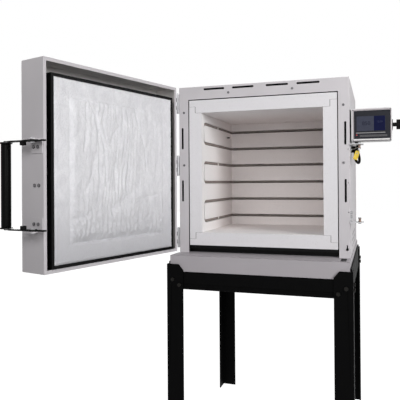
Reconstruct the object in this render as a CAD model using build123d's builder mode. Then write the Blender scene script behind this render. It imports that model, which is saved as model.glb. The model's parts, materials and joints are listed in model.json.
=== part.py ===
from build123d import *
import os
from math import radians, tan

# Bead annealing kiln on a bolted angle-steel stand, with its side-hinged door standing open.
#
# Millimetres.  While it is modelled, X runs right from the left wall of the case, Y runs back
# from the steel front face, and Z runs up from the top of the sill.  The door and its handle
# are modelled closed and latched.  The last section opens them and moves every piece so that
# the origin lies on the floor under the middle of the footprint.

os.makedirs("parts", exist_ok=True)

# ---- Steel case
case_width = 638.0
case_height = 638.0
case_depth = 594.0
sheet = 1.5  # wrap, pans and covers
face_sheet = 2.0  # front face
side_member = 38.0  # front face to the left and right of the opening
top_member = 48.7  # front face above the opening
face_return = 18.0  # edges folded back round the opening
floor_return = 20.0  # feet of the wrap, folded inwards
bend = 1.2  # outside bend of the front face's edges

# ---- Cuts in the front face
slot_length = 82.0
slot_width = 5.0
top_slot_drop = 11.5  # from the top edge to the middle of the slots
top_slot_places = (64.0, 177.0)  # from the middle of the face
side_slot_inset = 14.0  # from the side edges
side_slot_rises = (121.0, -82.0)  # from the middle of the face, like the screws and pilot holes
screw_inset = 20.0
screw_rises = (221.0, 17.0)
top_screw_drop = 29.0
top_screw_place = 120.0
screw_radius = 2.4
screw_head = 4.5
screw_head_height = 2.2
screw_length = 10.0
pilot_radius = 1.8
pilot_inset = 4.5
pilot_rises = (64.0, -55.0, -158.0)
keyhole_inset = 10.0
keyhole_height = 30.0
keyhole_radius = 5.0
keyhole_neck = 4.0
keyhole_rise = 16.0

# ---- Cooling holes low in the right wall
vent_radius = 5.0
vent_pitch_y = 38.0
vent_pitch_z = 21.0
vent_columns = 8
vent_rows = 3
vent_middle_y = 295.0
vent_middle_z = 46.0

# ---- Insulation boards
seam_gap = 3.5  # dark line between the steel face and the boards
board = 49.0
board_setback = 0.5
chamber_depth = 447.0
hearth_lift = 28.3  # underside of the hearth board above the sill
air_gap = 22.5  # between the wrap and the wool behind the boards
wool_front = 25.0
wool_back_gap = 18.0
support_sheet = 2.0
support_lip = 11.3
support_setback = 28.0  # the dark recess under the hearth
support_tongue = 22.0

# ---- Heating elements, three loops in six grooves
groove_height = 12.0
groove_depth = 14.0
groove_rows = 6
groove_drop = 37.4  # from the chamber's roof to the first groove
groove_lift = 41.1  # from the hearth to the last groove
groove_front = 34.0  # middle of the bend at the front
groove_bend = 21.0
element_radius = 5.2
element_bend = 11.0  # in the corners at the back
tail_bend = 9.0
tail_place = 32.5  # from the chamber's right wall to the inner tail's middle
tail_gap = 20.0
tail_clear = 1.5
pin_length = 11.0
pin_clear = 0.3
pin_place = 227.0
terminal_reach = 14.0  # of the elements into their terminals
terminal_width = 46.0
terminal_height = 22.0
terminal_depth = 20.0
terminal_hole_clear = 0.1

# ---- Thermocouple in the left wall
probe_radius = 3.2
probe_y = 368.0
probe_drop = 66.8  # from the chamber's roof
probe_tip = 13.0  # reach into the chamber
probe_clear = 0.3
probe_round = 2.0
head_width = 26.0
head_height = 18.0
head_depth = 14.0

# ---- Cover over the terminals
cover_margin = 60.0
cover_depth = 38.0
cover_flange = 14.0
louvre_length = 60.0
louvre_height = 6.0
louvre_pitch = 22.0
louvre_rows = 3
louvre_columns = 3
louvre_column_pitch = 82.0
louvre_margin = 28.0

# ---- Base with the sill
base_over = 3.0  # past the case on each side
sill_depth = 96.5
base_tail = 37.0  # past the case at the back
base_height = 58.8
base_bend = 2.0
sill_slot_inset = 10.0  # from the right wall of the case
sill_slot_width = 19.0
sill_slot_y = (-86.0, -17.0)
side_slot_length = 17.0
side_slots = ((-30.0, -12.0), (432.0, -12.0))
foot_height = 1.0  # thin pads between the base and the stand
foot_radius = 12.0
foot_inset = 62.0

# ---- Electrical parts in the base
sink_width = 100.0
sink_length = 80.0
sink_fin = 2.5
sink_fins = 9
sink_fin_height = 25.0
sink_plate = 5.0
relay_width = 45.0
relay_length = 58.0
relay_height = 21.0
relay_chamfer = 1.5
relay_insets = (168.0, 214.0)  # from the right wall and the back of the case
switch_clear = 2.5
switch_height = 26.0
gland_thread = 8.0
gland_nut = 12.5
gland_nut_height = 5.0
gland_dome = 9.5
gland_dome_height = 11.0
gland_bore = 4.6
gland_round = 4.0
mains_inset = 78.0  # from the right wall of the case
side_gland_place = (158.0, 392.0)
side_gland_reach = 13.0  # to the middle of its elbow
side_gland_drop = 14.0
elbow_radius = 10.5
grommet_place = 66.0
grommet_drop = 25.4  # below the underside of the controller
grommet_radius = 6.0
grommet_height = 4.0

# ---- Stand of steel angle
leg_width = 63.5
leg_steel = 4.8
leg_length = 711.0
leg_top = -31.5
leg_gap = 2.2  # between the legs and the front and back of the base
leg_chamfer_x = 18.0
leg_chamfer_z = 22.0
rail_width = 63.5
rail_steel = 4.8
side_rail_top = -22.0
side_rail_height = 88.9
side_rail_clear = 0.8  # between the side rails and the base
rail_gap = 1.0  # where rails pass each other
bolt_radius = 4.0
bolt_head = 7.4
bolt_head_height = 5.0
bolt_nut_height = 6.0
bolt_clear = 0.4
front_bolts = ((23.0, -88.0), (49.0, -107.0))  # from the leg's corner, and height
side_bolts = ((30.0, -78.0), (30.0, -96.0))

# ---- Door
door_left = 2.0  # right of the case's left wall
door_depth = 100.5
door_lift = 4.3  # above the sill
door_top_drop = 0.2  # below the top of the case
door_gap = 5.0  # between the steel face and the door's rim
rim_flange = 11.0
frame_left = 28.0  # from the hinge edge of the door to the black frame
frame_right = 26.0
frame_bottom = 11.5
frame_top = 42.8
frame_flange = 10.0
frame_face = 2.0
frame_stand_off = 2.0  # front of the frame to the steel face
blanket_clear = 0.5
blanket_depth = 25.0
blanket_round = 4.0
core_clear = 0.5
plug_rise = 6.5
plug_clear = 6.0  # between the pressed panel and the chamber's walls
plug_round = 5.5
door_open = 106.0

# ---- Hinges
hinge_height = 76.2
hinge_top_drop = 62.0  # from the top of the case
hinge_middle_rise = 15.0  # from the middle of the case
hinge_bottom_lift = 56.0
knuckle_radius = 4.5
knuckle_count = 5
knuckle_gap = 0.3
hinge_pin = 2.5
hinge_pin_head = 3.7
running = 0.05  # radial clearance of every turning fit
leaf_thick = 2.5
leaf_width = 35.5
leaf_clear = 0.5
pivot_front = 2.5  # hinge axis in front of the steel face

# ---- Handle, arms, brackets and keepers.  Places are right of the case, and back from its front.
latch_drop = 56.0  # from the middle of the case to the middle of the handle
arm_offset = 129.0
arm_thick = 4.5
arm_width = 18.0
arm_knee_round = 30.0
pivot_place = (21.0, -27.0)
knee_place = (17.0, -105.0)
end_place = (-26.0, -157.0)
pivot_boss = 13.0
end_boss = 19.0
claw_left = 18.5
claw_throat = 27.6
claw_tip = 36.5
claw_front = 10.9
claw_back = 19.0
claw_round = 3.0
pivot_radius = 4.0
pivot_head = 7.0
pivot_head_height = 4.0
pivot_play = 0.3
handle_swing = 16.0
bar_radius = 15.0
bar_round = 2.5
bar_bolt = 4.0
bar_bore = 21.0
bar_bolt_play = 0.3
bumper_radius = 9.0
bumper_height = 10.0
bumper_round = 1.5
bumper_place = 34.0
bracket_steel = 3.0
bracket_gap = 0.75
bracket_reach = 35.0
bracket_leg = 38.0
bracket_front = -55.0
bracket_back = -7.0
bracket_round = 8.0
edge_bolt = 3.0
edge_bolt_head = 5.2
edge_bolt_head_height = 3.6
edge_bolt_depths = (19.5, 38.5)
edge_bolt_drop = 16.5
keeper_steel = 3.0
keeper_reach = 46.0
keeper_front = -4.0
keeper_back = 50.0
keeper_leg = 38.0
keeper_leg_front = 20.0
keeper_round = 6.0
keeper_bolt_insets = (10.0, 24.0)  # from the middle of the arm
spool_place = (32.5, 6.0)
spool_radius = 5.5
spool_waist = 4.1
spool_rim = 1.2
spool_length = 12.5
spool_bolt = 2.5
spool_gap = 0.3
spool_head = 5.0
spool_head_height = 3.5

# ---- Controller and its yoke
yoke_steel = 2.5
yoke_front = 32.0
yoke_back = 135.0
yoke_margin = 1.0
strap_height = 60.0
yoke_arm_height = 34.0
yoke_arm_front = 48.0
yoke_boss = 8.0
yoke_round = 8.0
yoke_arm_gap = 0.6
control_gap = 0.3
control_width = 136.0
control_height = 115.7
control_depth = 65.0
control_front = 30.0
control_rise = 9.85  # from the upper keeper to the underside of the controller
control_round = 7.0
control_chamfer = 1.5
control_wall = 2.5
tilt_y = 62.0
tilt_pin = 3.0
tilt_pin_length = 3.8
boss_height = 2.7
panel_inset = (8.5, 4.6, 8.0, 7.8)  # left, right, bottom, top
panel_thick = 2.0
panel_setback = 1.0
panel_ledge = 2.0
panel_clear = 0.3
screen_x = (14.5, 114.0)  # from the left side of the controller
screen_z = (33.1, 92.1)  # from its underside
screen_thick = 0.6
button_place = (18.0, 22.0)
button_radius = 2.5
button_front = 0.6  # stands proud of the bezel
button_flange = 4.0
button_flange_thick = 1.0
button_flange_clear = 0.3
button_round = 0.5
knob_neck = 7.0
knob_neck_length = 12.2
knob_radius = 17.5
knob_length = 16.0
knob_scallop = 5.5
knob_scallops = 6
knob_round = 1.5
knob_gap = 0.2
knob_stud = 7.5  # reach into the controller
control_gland_place = (19.5, 80.0)  # from the left side of the controller, and from the steel face
control_gland_height = 11.6
control_gland_radius = 10.0
control_gland_round = 3.0

# ---- Free cords: the controller's cable, and the thermocouple's plug on its lead
cable_radius = 5.0
cable_route = [
    (663.0, 80.0, 399.8),
    (663.0, 80.0, 383.0),
    (666.0, 82.0, 366.0),
    (669.0, 89.0, 350.5),
    (669.0, 101.0, 339.0),
    (665.5, 116.0, 334.0),
    (660.0, 132.0, 336.0),
    (654.5, 146.0, 345.0),
    (651.5, 155.0, 358.0),
    (651.0, 158.0, 370.0),
    (651.0, 158.0, 378.0),
]
lead_radius = 1.1
lead_route = [
    (642.0, 66.0, 386.0),
    (650.5, 66.0, 386.0),
    (659.0, 64.5, 387.5),
    (666.0, 62.0, 385.0),
    (669.0, 60.0, 378.5),
    (666.6, 60.0, 371.5),
]
plug_width = 16.0
plug_length = 33.0
plug_thick = 8.0
plug_edge = 1.5

# ---- Places worked out from the sizes above
middle_x = case_width / 2
middle_z = case_height / 2
opening_x = (side_member, case_width - side_member)
opening_top = case_height - top_member
boards_x = (opening_x[0] + seam_gap, opening_x[1] - seam_gap)
boards_z = (hearth_lift, opening_top - seam_gap)
boards_y = (board_setback, chamber_depth + board)
chamber_x = (boards_x[0] + board, boards_x[1] - board)
chamber_z = (boards_z[0] + board, boards_z[1] - board)
lap = board / 2
groove_pitch = (chamber_z[1] - chamber_z[0] - groove_drop - groove_lift) / (groove_rows - 1)
grooves = [chamber_z[1] - groove_drop - groove_pitch * row for row in range(groove_rows)]
probe_z = chamber_z[1] - probe_drop
element_x = (chamber_x[0] - groove_depth / 2, chamber_x[1] + groove_depth / 2)
element_y = chamber_depth + groove_depth / 2
tails_x = (chamber_x[1] - tail_place, chamber_x[1] - tail_place + tail_gap)
cover_x = (cover_margin, case_width - cover_margin)
cover_z = (cover_margin, case_height - cover_margin)
base_x = (-base_over, case_width + base_over)
base_y = (-sill_depth, case_depth + base_tail)
base_bottom = -base_height
side_gap = side_rail_clear + rail_steel  # the side rails stand between the legs and the base
stand_x = (base_x[0] - side_gap - leg_steel, base_x[1] + side_gap + leg_steel)
stand_y = (base_y[0] - leg_gap - leg_steel, base_y[1] + leg_gap + leg_steel)
rail_top = base_bottom - foot_height
floor_z = leg_top - leg_length
wool_x = (air_gap, case_width - air_gap)
wool_y = (wool_front, case_depth - wool_back_gap)
wool_top = case_height - air_gap
hinge_axis = (-knuckle_radius, -pivot_front)
hinge_levels = (case_height - hinge_top_drop, middle_z + hinge_middle_rise, hinge_bottom_lift)
rim_y = -door_gap
skin_y = rim_y - door_depth
door_x = (door_left, case_width)
door_z = (door_lift, case_height - door_top_drop)
frame_x = (door_x[0] + frame_left, door_x[1] - frame_right)
frame_z = (door_z[0] + frame_bottom, door_z[1] - frame_top)
blanket_y = -blanket_clear
latch_middle = middle_z - latch_drop
arm_levels = (latch_middle + arm_offset, latch_middle - arm_offset)
handle_pivot = (case_width + pivot_place[0], pivot_place[1])
handle_knee = (case_width + knee_place[0], knee_place[1])
handle_end = (case_width + end_place[0], end_place[1])
spool_axis = (case_width + spool_place[0], spool_place[1])
keeper_gap = spool_length / 2 + spool_gap  # the waist of the spool is level with the arm
control_left = case_width + yoke_steel + boss_height + control_gap
control_x = (control_left, control_left + control_width)
keeper_top = arm_levels[0] + keeper_gap + keeper_steel
control_z = (keeper_top + control_rise, keeper_top + control_rise + control_height)
tilt_z = control_z[0] + control_height / 2
yoke_arm_x = (control_x[1] + yoke_arm_gap, control_x[1] + yoke_arm_gap + yoke_steel)


# ---- Helpers
def middle(limits):
    """Half way between two limits."""
    return (limits[0] + limits[1]) / 2


def block(x, y, z, mode=Mode.ADD):
    """A box between two limits on each axis."""
    with Locations((middle(x), middle(y), middle(z))):
        return Box(x[1] - x[0], y[1] - y[0], z[1] - z[0], mode=mode)


def rod(start, direction, radius, length, mode=Mode.ADD):
    """A round bar, or a round hole, from a point along a direction."""
    with Locations(Plane(origin=start, z_dir=direction)):
        seat = (Align.CENTER, Align.CENTER, Align.MIN)
        return Cylinder(radius, length, align=seat, mode=mode)


def hexagon(start, direction, radius, length):
    """A six-sided prism, for a bolt head or a nut."""
    with BuildSketch(Plane(origin=start, z_dir=direction)) as outline:
        RegularPolygon(radius, 6)
    extrude(outline.sketch, amount=length)


def panel(x, z, mode=Mode.ADD):
    """A rectangle in a sketch between two limits on each axis."""
    with Locations((middle(x), middle(z))):
        Rectangle(x[1] - x[0], z[1] - z[0], mode=mode)


def front(y):
    """A plane that faces the front, whose sketch axes are X and Z."""
    return Plane(origin=(0, y, 0), x_dir=(1, 0, 0), z_dir=(0, -1, 0))


def side(x):
    """A plane that faces right, whose sketch axes are Y and Z."""
    return Plane(origin=(x, 0, 0), x_dir=(0, 1, 0), z_dir=(1, 0, 0))


def along(point, direction, distance):
    """The point that lies a distance from another along a unit direction."""
    return tuple(p + d * distance for p, d in zip(point, direction))


def bolt(seat, inward, radius, head, head_height, grip, nut_height):
    """A bolt with its head on a seat, its shank through a grip, and its nut behind."""
    outward = tuple(-d for d in inward)
    hexagon(seat, outward, head, head_height)
    rod(seat, inward, radius, grip + nut_height)
    if nut_height:
        hexagon(along(seat, inward, grip), inward, head, nut_height)


def gland(seat, outward, wall, reach):
    """A cable gland: its thread and lock nut inside a wall, its hexagon and nose outside."""
    inward = tuple(-d for d in outward)
    rod(seat, inward, gland_thread, wall + gland_nut_height)
    hexagon(along(seat, inward, wall), inward, gland_nut, gland_nut_height)
    hexagon(seat, outward, gland_nut, gland_nut_height)
    rod(along(seat, outward, gland_nut_height), outward, gland_dome, reach - gland_nut_height)


def cord_radii(route):
    """The arc at each point of a route: 0.45 of the shorter run over tan of half the turn."""
    points = [Vector(*point) for point in route]
    radii = []
    for before, here, after in zip(points, points[1:], points[2:]):
        turn = (here - before).get_angle(after - here)
        shorter = min((here - before).length, (after - here).length)
        radii.append(0.45 * shorter / tan(radians(turn) / 2))
    return radii


# ---- Base: the pan that makes the sill, its floor, and what stands in it
with BuildPart() as base_pan:
    block(base_x, base_y, (base_bottom, 0))
    fillet(base_pan.edges().filter_by(Axis.X).group_by(Axis.Z)[-1], radius=base_bend)
    fillet(base_pan.edges().filter_by(Axis.Z), radius=base_bend)
    inside_x = (base_x[0] + sheet, base_x[1] - sheet)
    inside_y = (base_y[0] + sheet, base_y[1] - sheet)
    block(inside_x, inside_y, (base_bottom, -sheet), Mode.SUBTRACT)
    sill_slot_x = (case_width - sill_slot_inset - sill_slot_width, case_width - sill_slot_inset)
    block(sill_slot_x, sill_slot_y, (-sheet, 0), Mode.SUBTRACT)
    for place, height in side_slots:
        with BuildSketch(side(inside_x[1])):
            with Locations((place, height)):
                SlotOverall(side_slot_length, slot_width, rotation=90)
        extrude(amount=sheet, mode=Mode.SUBTRACT)
    mains_seat = (case_width - mains_inset, base_y[1], base_bottom / 2)
    rod(mains_seat, (0, -1, 0), gland_thread + bolt_clear, sheet, Mode.SUBTRACT)

with BuildPart() as base_floor:
    block(inside_x, inside_y, (base_bottom, base_bottom + sheet))

with BuildPart() as base_feet:
    for x in (foot_inset, case_width - foot_inset):
        for y in (stand_y[0] + leg_steel + rail_width / 2, stand_y[1] - leg_steel - rail_width / 2):
            rod((x, y, rail_top), (0, 0, 1), foot_radius, foot_height)

floor_top = base_bottom + sheet
with BuildPart() as heat_sink:
    relay_place = (case_width - relay_insets[0], case_depth - relay_insets[1])
    sink_x = (relay_place[0] - sink_width / 2, relay_place[0] + sink_width / 2)
    sink_y = (relay_place[1] - sink_length / 2, relay_place[1] + sink_length / 2)
    plate_z = (floor_top + sink_fin_height, floor_top + sink_fin_height + sink_plate)
    block(sink_x, sink_y, plate_z)
    fin_pitch = (sink_width - sink_fin) / (sink_fins - 1)
    for fin in range(sink_fins):
        fin_x = sink_x[0] + fin * fin_pitch
        block((fin_x, fin_x + sink_fin), sink_y, (floor_top, plate_z[0]))

with BuildPart() as relay_module:
    with Locations((relay_place[0], relay_place[1], plate_z[1] + relay_height / 2)):
        Box(relay_length, relay_width, relay_height)
    chamfer(relay_module.edges().group_by(Axis.Z)[-1], length=relay_chamfer)

with BuildPart() as door_switch:
    switch_x = (sill_slot_x[0] - switch_clear, sill_slot_x[1] + switch_clear)
    switch_y = (sill_slot_y[0] - switch_clear, sill_slot_y[1] + switch_clear)
    block(switch_x, switch_y, (-sheet - switch_height, -sheet))

# ---- Wrap, back, front face and rear cover
keeper_bolt_y = (keeper_leg_front + keeper_back) / 2
keeper_bolt_levels = [latch_middle + way * (arm_offset - inset)
                      for way in (1, -1) for inset in keeper_bolt_insets]

with BuildPart() as case_shell:
    with BuildSketch(front(case_depth)):
        panel((0, case_width), (0, case_height))
        panel((sheet, case_width - sheet), (0, case_height - sheet), Mode.SUBTRACT)
    extrude(amount=case_depth - face_sheet)
    shell_y = (face_sheet, case_depth)
    block((sheet, sheet + floor_return), shell_y, (0, sheet))
    block((case_width - sheet - floor_return, case_width - sheet), shell_y, (0, sheet))
    with BuildSketch(side(case_width - sheet)):
        with Locations((vent_middle_y, vent_middle_z)):
            with GridLocations(vent_pitch_y, vent_pitch_z, vent_columns, vent_rows):
                Circle(vent_radius)
    extrude(amount=sheet, mode=Mode.SUBTRACT)
    for level in keeper_bolt_levels:
        rod((case_width - sheet, keeper_bolt_y, level), (1, 0, 0), edge_bolt + bolt_clear, sheet,
            Mode.SUBTRACT)
    rod((case_width - sheet, *side_gland_place), (1, 0, 0), gland_thread + bolt_clear, sheet,
        Mode.SUBTRACT)

with BuildPart() as back_panel:
    panel_y = (case_depth - sheet, case_depth)
    block((sheet, case_width - sheet), panel_y, (sheet, case_height - sheet))
    for level in grooves[1::2]:
        for x in tails_x:
            rod((x, panel_y[0], level), (0, 1, 0), element_radius + tail_clear, sheet, Mode.SUBTRACT)

with BuildPart() as front_frame:
    with BuildSketch(front(face_sheet)):
        panel((0, case_width), (0, case_height))
        panel(opening_x, (0, opening_top), Mode.SUBTRACT)
        for place in top_slot_places:
            for way in (-1, 1):
                with Locations((middle_x + way * place, case_height - top_slot_drop)):
                    SlotOverall(slot_length, slot_width, mode=Mode.SUBTRACT)
        for x in (side_slot_inset, case_width - side_slot_inset):
            for rise in side_slot_rises:
                with Locations((x, middle_z + rise)):
                    SlotOverall(slot_length, slot_width, rotation=90, mode=Mode.SUBTRACT)
        for rise in pilot_rises:
            with Locations((case_width - pilot_inset, middle_z + rise)):
                Circle(pilot_radius, mode=Mode.SUBTRACT)
        with Locations((case_width - keyhole_inset, keyhole_height)):
            Circle(keyhole_radius, mode=Mode.SUBTRACT)
        with Locations((case_width - keyhole_inset, keyhole_height + keyhole_rise / 2)):
            SlotOverall(keyhole_rise, keyhole_neck, rotation=90, mode=Mode.SUBTRACT)
    extrude(amount=face_sheet)
    face_edges = front_frame.edges().filter_by_position(Axis.Y, 0, 0)
    rounded = face_edges.filter_by(Axis.Z).group_by(Axis.X)
    fillet(rounded[0] + rounded[-1] + face_edges.filter_by(Axis.X).group_by(Axis.Z)[-1], radius=bend)
    return_y = (face_sheet, face_sheet + face_return)
    block((opening_x[0] - sheet, opening_x[0]), return_y, (sheet, opening_top + sheet))
    block((opening_x[1], opening_x[1] + sheet), return_y, (sheet, opening_top + sheet))
    block(opening_x, return_y, (opening_top, opening_top + sheet))

face_screw_places = [(x, middle_z + rise)
                     for x in (screw_inset, case_width - screw_inset) for rise in screw_rises]
face_screw_places += [(middle_x + way * top_screw_place, case_height - top_screw_drop)
                      for way in (-1, 1)]

with BuildPart() as face_screws:
    for x, z in face_screw_places:
        rod((x, 0, z), (0, -1, 0), screw_head, screw_head_height)
        rod((x, 0, z), (0, 1, 0), screw_radius, screw_length)

with BuildPart(mode=Mode.PRIVATE) as screw_holes:
    for x, z in face_screw_places:
        rod((x, 0, z), (0, 1, 0), screw_radius + running, face_sheet)
front_frame.part = front_frame.part - screw_holes.part

with BuildPart() as rear_cover:
    cover_y = (case_depth, case_depth + cover_depth)
    flange_x = (cover_x[0] - cover_flange, cover_x[1] + cover_flange)
    flange_z = (cover_z[0] - cover_flange, cover_z[1] + cover_flange)
    block(cover_x, cover_y, cover_z)
    fillet(rear_cover.edges().group_by(Axis.Y)[-1], radius=base_bend)
    block(flange_x, (case_depth, case_depth + sheet), flange_z)
    cover_inside_x = (cover_x[0] + sheet, cover_x[1] - sheet)
    cover_inside_z = (cover_z[0] + sheet, cover_z[1] - sheet)
    block(cover_inside_x, (case_depth, cover_y[1] - sheet), cover_inside_z, Mode.SUBTRACT)
    with BuildSketch(front(cover_y[1])):
        bank = louvre_pitch * (louvre_rows - 1) / 2
        for level in (cover_z[0] + louvre_margin + bank, cover_z[1] - louvre_margin - bank):
            with Locations((middle_x, level)):
                with GridLocations(louvre_column_pitch, louvre_pitch, louvre_columns, louvre_rows):
                    Rectangle(louvre_length, louvre_height)
    extrude(amount=sheet, mode=Mode.SUBTRACT)

# ---- Insulation: five boards lapped at their corners, wool behind them, and their support
with BuildPart() as top_board:
    with BuildSketch(front(boards_y[1])):
        panel(boards_x, (boards_z[1] - lap, boards_z[1]))
        panel((boards_x[0] + lap, boards_x[1] - lap), (chamber_z[1], boards_z[1] - lap))
    extrude(amount=boards_y[1] - boards_y[0])

with BuildPart() as bottom_board:
    with BuildSketch(front(boards_y[1])):
        panel(boards_x, (boards_z[0], boards_z[0] + lap))
        panel((boards_x[0] + lap, boards_x[1] - lap), (boards_z[0] + lap, chamber_z[0]))
    extrude(amount=boards_y[1] - boards_y[0])

with BuildPart() as left_board:
    with BuildSketch(front(boards_y[1])):
        panel((boards_x[0], boards_x[0] + lap), (boards_z[0] + lap, boards_z[1] - lap))
        panel((boards_x[0] + lap, chamber_x[0]), chamber_z)
    extrude(amount=boards_y[1] - boards_y[0])
    for upper, lower in zip(grooves[0::2], grooves[1::2]):
        with BuildSketch(side(chamber_x[0] - groove_depth)):
            with BuildLine():
                back = chamber_depth + groove_depth
                FilletPolyline(
                    (back, upper), (groove_front, upper), (groove_front, lower), (back, lower),
                    radius=groove_bend)
            trace(line_width=groove_height)
        extrude(amount=groove_depth, mode=Mode.SUBTRACT)
    rod((boards_x[0], probe_y, probe_z), (1, 0, 0), probe_radius + probe_clear, board, Mode.SUBTRACT)

with BuildPart() as right_board:
    with BuildSketch(front(boards_y[1])):
        panel((boards_x[1] - lap, boards_x[1]), (boards_z[0] + lap, boards_z[1] - lap))
        panel((chamber_x[1], boards_x[1] - lap), chamber_z)
    extrude(amount=boards_y[1] - boards_y[0])
    for upper, lower in zip(grooves[0::2], grooves[1::2]):
        with BuildSketch(side(chamber_x[1])):
            with BuildLine():
                FilletPolyline(
                    (back, upper), (groove_front, upper), (groove_front, lower), (back, lower),
                    radius=groove_bend)
            trace(line_width=groove_height)
        extrude(amount=groove_depth, mode=Mode.SUBTRACT)

with BuildPart() as back_board:
    block(chamber_x, (chamber_depth, boards_y[1]), chamber_z)
    for level in grooves:
        groove_z = (level - groove_height / 2, level + groove_height / 2)
        block(chamber_x, (chamber_depth, chamber_depth + groove_depth), groove_z, Mode.SUBTRACT)
    for level in grooves[1::2]:
        for x in tails_x:
            rod((x, chamber_depth, level), (0, 1, 0), element_radius + tail_clear, board, Mode.SUBTRACT)

support_z = (hearth_lift - support_sheet, hearth_lift)
with BuildPart() as hearth_support:
    support_x = (sheet + floor_return + seam_gap, case_width - sheet - floor_return - seam_gap)
    block(support_x, (support_tongue, wool_y[1]), support_z)
    block(boards_x, (support_sheet + board_setback, support_tongue), support_z)
    lip_y = (board_setback + support_sheet, board_setback + 2 * support_sheet)
    block(boards_x, lip_y, (hearth_lift - support_lip, support_z[0]))
    block(support_x, (support_setback, support_setback + support_sheet), (0, support_z[0]))
    block(support_x, (wool_y[1] - support_sheet, wool_y[1]), (0, support_z[0]))
    wall_y = (support_setback + support_sheet, wool_y[1] - support_sheet)
    block((support_x[0], support_x[0] + support_sheet), wall_y, (0, support_z[0]))
    block((support_x[1] - support_sheet, support_x[1]), wall_y, (0, support_z[0]))

with BuildPart() as backup_wool:
    block(wool_x, wool_y, (hearth_lift, wool_top))
    block(boards_x, (wool_y[0], boards_y[1]), (hearth_lift, boards_z[1]), Mode.SUBTRACT)
    for level in grooves[1::2]:
        for x in tails_x:
            rod((x, boards_y[1], level), (0, 1, 0), element_radius + tail_clear,
                wool_y[1] - boards_y[1], Mode.SUBTRACT)
    rod((wool_x[0], probe_y, probe_z), (1, 0, 0), probe_radius + probe_clear,
        boards_x[0] - wool_x[0], Mode.SUBTRACT)

# ---- Heating elements, the pins that hold them, their terminals, and the thermocouple
terminal_end = case_depth + terminal_reach
elements = {}
for name, upper, lower in zip(("element_upper", "element_middle", "element_lower"),
                              grooves[0::2], grooves[1::2]):
    with BuildPart() as element:
        with BuildLine() as loop:
            route = [(tails_x[0], terminal_end, lower), (tails_x[0], element_y, lower)]
            route += [(element_x[0], element_y, lower), (element_x[0], groove_front, lower)]
            route += [(element_x[0], groove_front, upper), (element_x[0], element_y, upper)]
            route += [(element_x[1], element_y, upper), (element_x[1], groove_front, upper)]
            route += [(element_x[1], groove_front, lower), (element_x[1], element_y, lower)]
            route += [(tails_x[1], element_y, lower), (tails_x[1], terminal_end, lower)]
            side_bends = [element_bend, groove_bend, groove_bend, element_bend]
            FilletPolyline(*route, radius=[tail_bend] + side_bends + side_bends[:3] + [tail_bend] * 2)
        with BuildSketch(Plane(origin=route[0], z_dir=(0, -1, 0))):
            Circle(element_radius)
        sweep()
    elements[name] = element.part

with BuildPart() as element_pins:
    pin_y = (pin_place - pin_length / 2, pin_place + pin_length / 2)
    pin_reach = groove_depth / 2 - element_radius - pin_clear
    for level in (grooves[0], grooves[2], grooves[5]):
        pin_z = (level - groove_height / 2, level + groove_height / 2)
        block((chamber_x[0] - pin_reach, chamber_x[0]), pin_y, pin_z)
        block((chamber_x[1], chamber_x[1] + pin_reach), pin_y, pin_z)

with BuildPart() as terminal_blocks:
    for level in grooves[1::2]:
        terminal_x = (middle(tails_x) - terminal_width / 2, middle(tails_x) + terminal_width / 2)
        terminal_z = (level - terminal_height / 2, level + terminal_height / 2)
        block(terminal_x, (case_depth, case_depth + terminal_depth), terminal_z)
        for x in tails_x:
            rod((x, case_depth, level), (0, 1, 0), element_radius + terminal_hole_clear,
                terminal_depth, Mode.SUBTRACT)

with BuildPart() as thermocouple:
    head_x = (wool_x[0] - head_depth, wool_x[0])
    head_y = (probe_y - head_width / 2, probe_y + head_width / 2)
    block(head_x, head_y, (probe_z - head_height / 2, probe_z + head_height / 2))
    rod((wool_x[0], probe_y, probe_z), (1, 0, 0), probe_radius, chamber_x[0] + probe_tip - wool_x[0])
    fillet(thermocouple.edges().filter_by(GeomType.CIRCLE).sort_by(Axis.X)[-1], radius=probe_round)

# ---- Stand: four legs of angle, two cross rails, two side rails and their bolts
leg_z = (floor_z, leg_top)
with BuildPart() as leg_front_left:
    with BuildSketch(front(stand_y[0] + leg_steel)):
        panel((stand_x[0], stand_x[0] + leg_width), leg_z)
        with BuildLine():
            corner = (stand_x[0] + leg_width, leg_top)
            Polyline((corner[0] - leg_chamfer_x, corner[1]), corner,
                     (corner[0], corner[1] - leg_chamfer_z), close=True)
        make_face(mode=Mode.SUBTRACT)
    extrude(amount=leg_steel)
    with BuildSketch(side(stand_x[0])):
        panel((stand_y[0], stand_y[0] + leg_width), leg_z)
        with BuildLine():
            corner = (stand_y[0] + leg_width, leg_top)
            Polyline((corner[0] - leg_chamfer_x, corner[1]), corner,
                     (corner[0], corner[1] - leg_chamfer_z), close=True)
        make_face(mode=Mode.SUBTRACT)
    extrude(amount=leg_steel)
    for offset, height in front_bolts:
        rod((stand_x[0] + offset, stand_y[0], height), (0, 1, 0), bolt_radius + bolt_clear,
            leg_steel, Mode.SUBTRACT)
    for offset, height in side_bolts:
        rod((stand_x[0], stand_y[0] + offset, height), (1, 0, 0), bolt_radius + bolt_clear,
            leg_steel, Mode.SUBTRACT)

across = Plane.YZ.offset(middle_x)
lengthways = Plane.XZ.offset(-middle(stand_y))
with BuildPart() as leg_front_right:
    mirror(leg_front_left.part, about=across)
with BuildPart() as leg_rear_left:
    mirror(leg_front_left.part, about=lengthways)
with BuildPart() as leg_rear_right:
    mirror(leg_front_right.part, about=lengthways)

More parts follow.
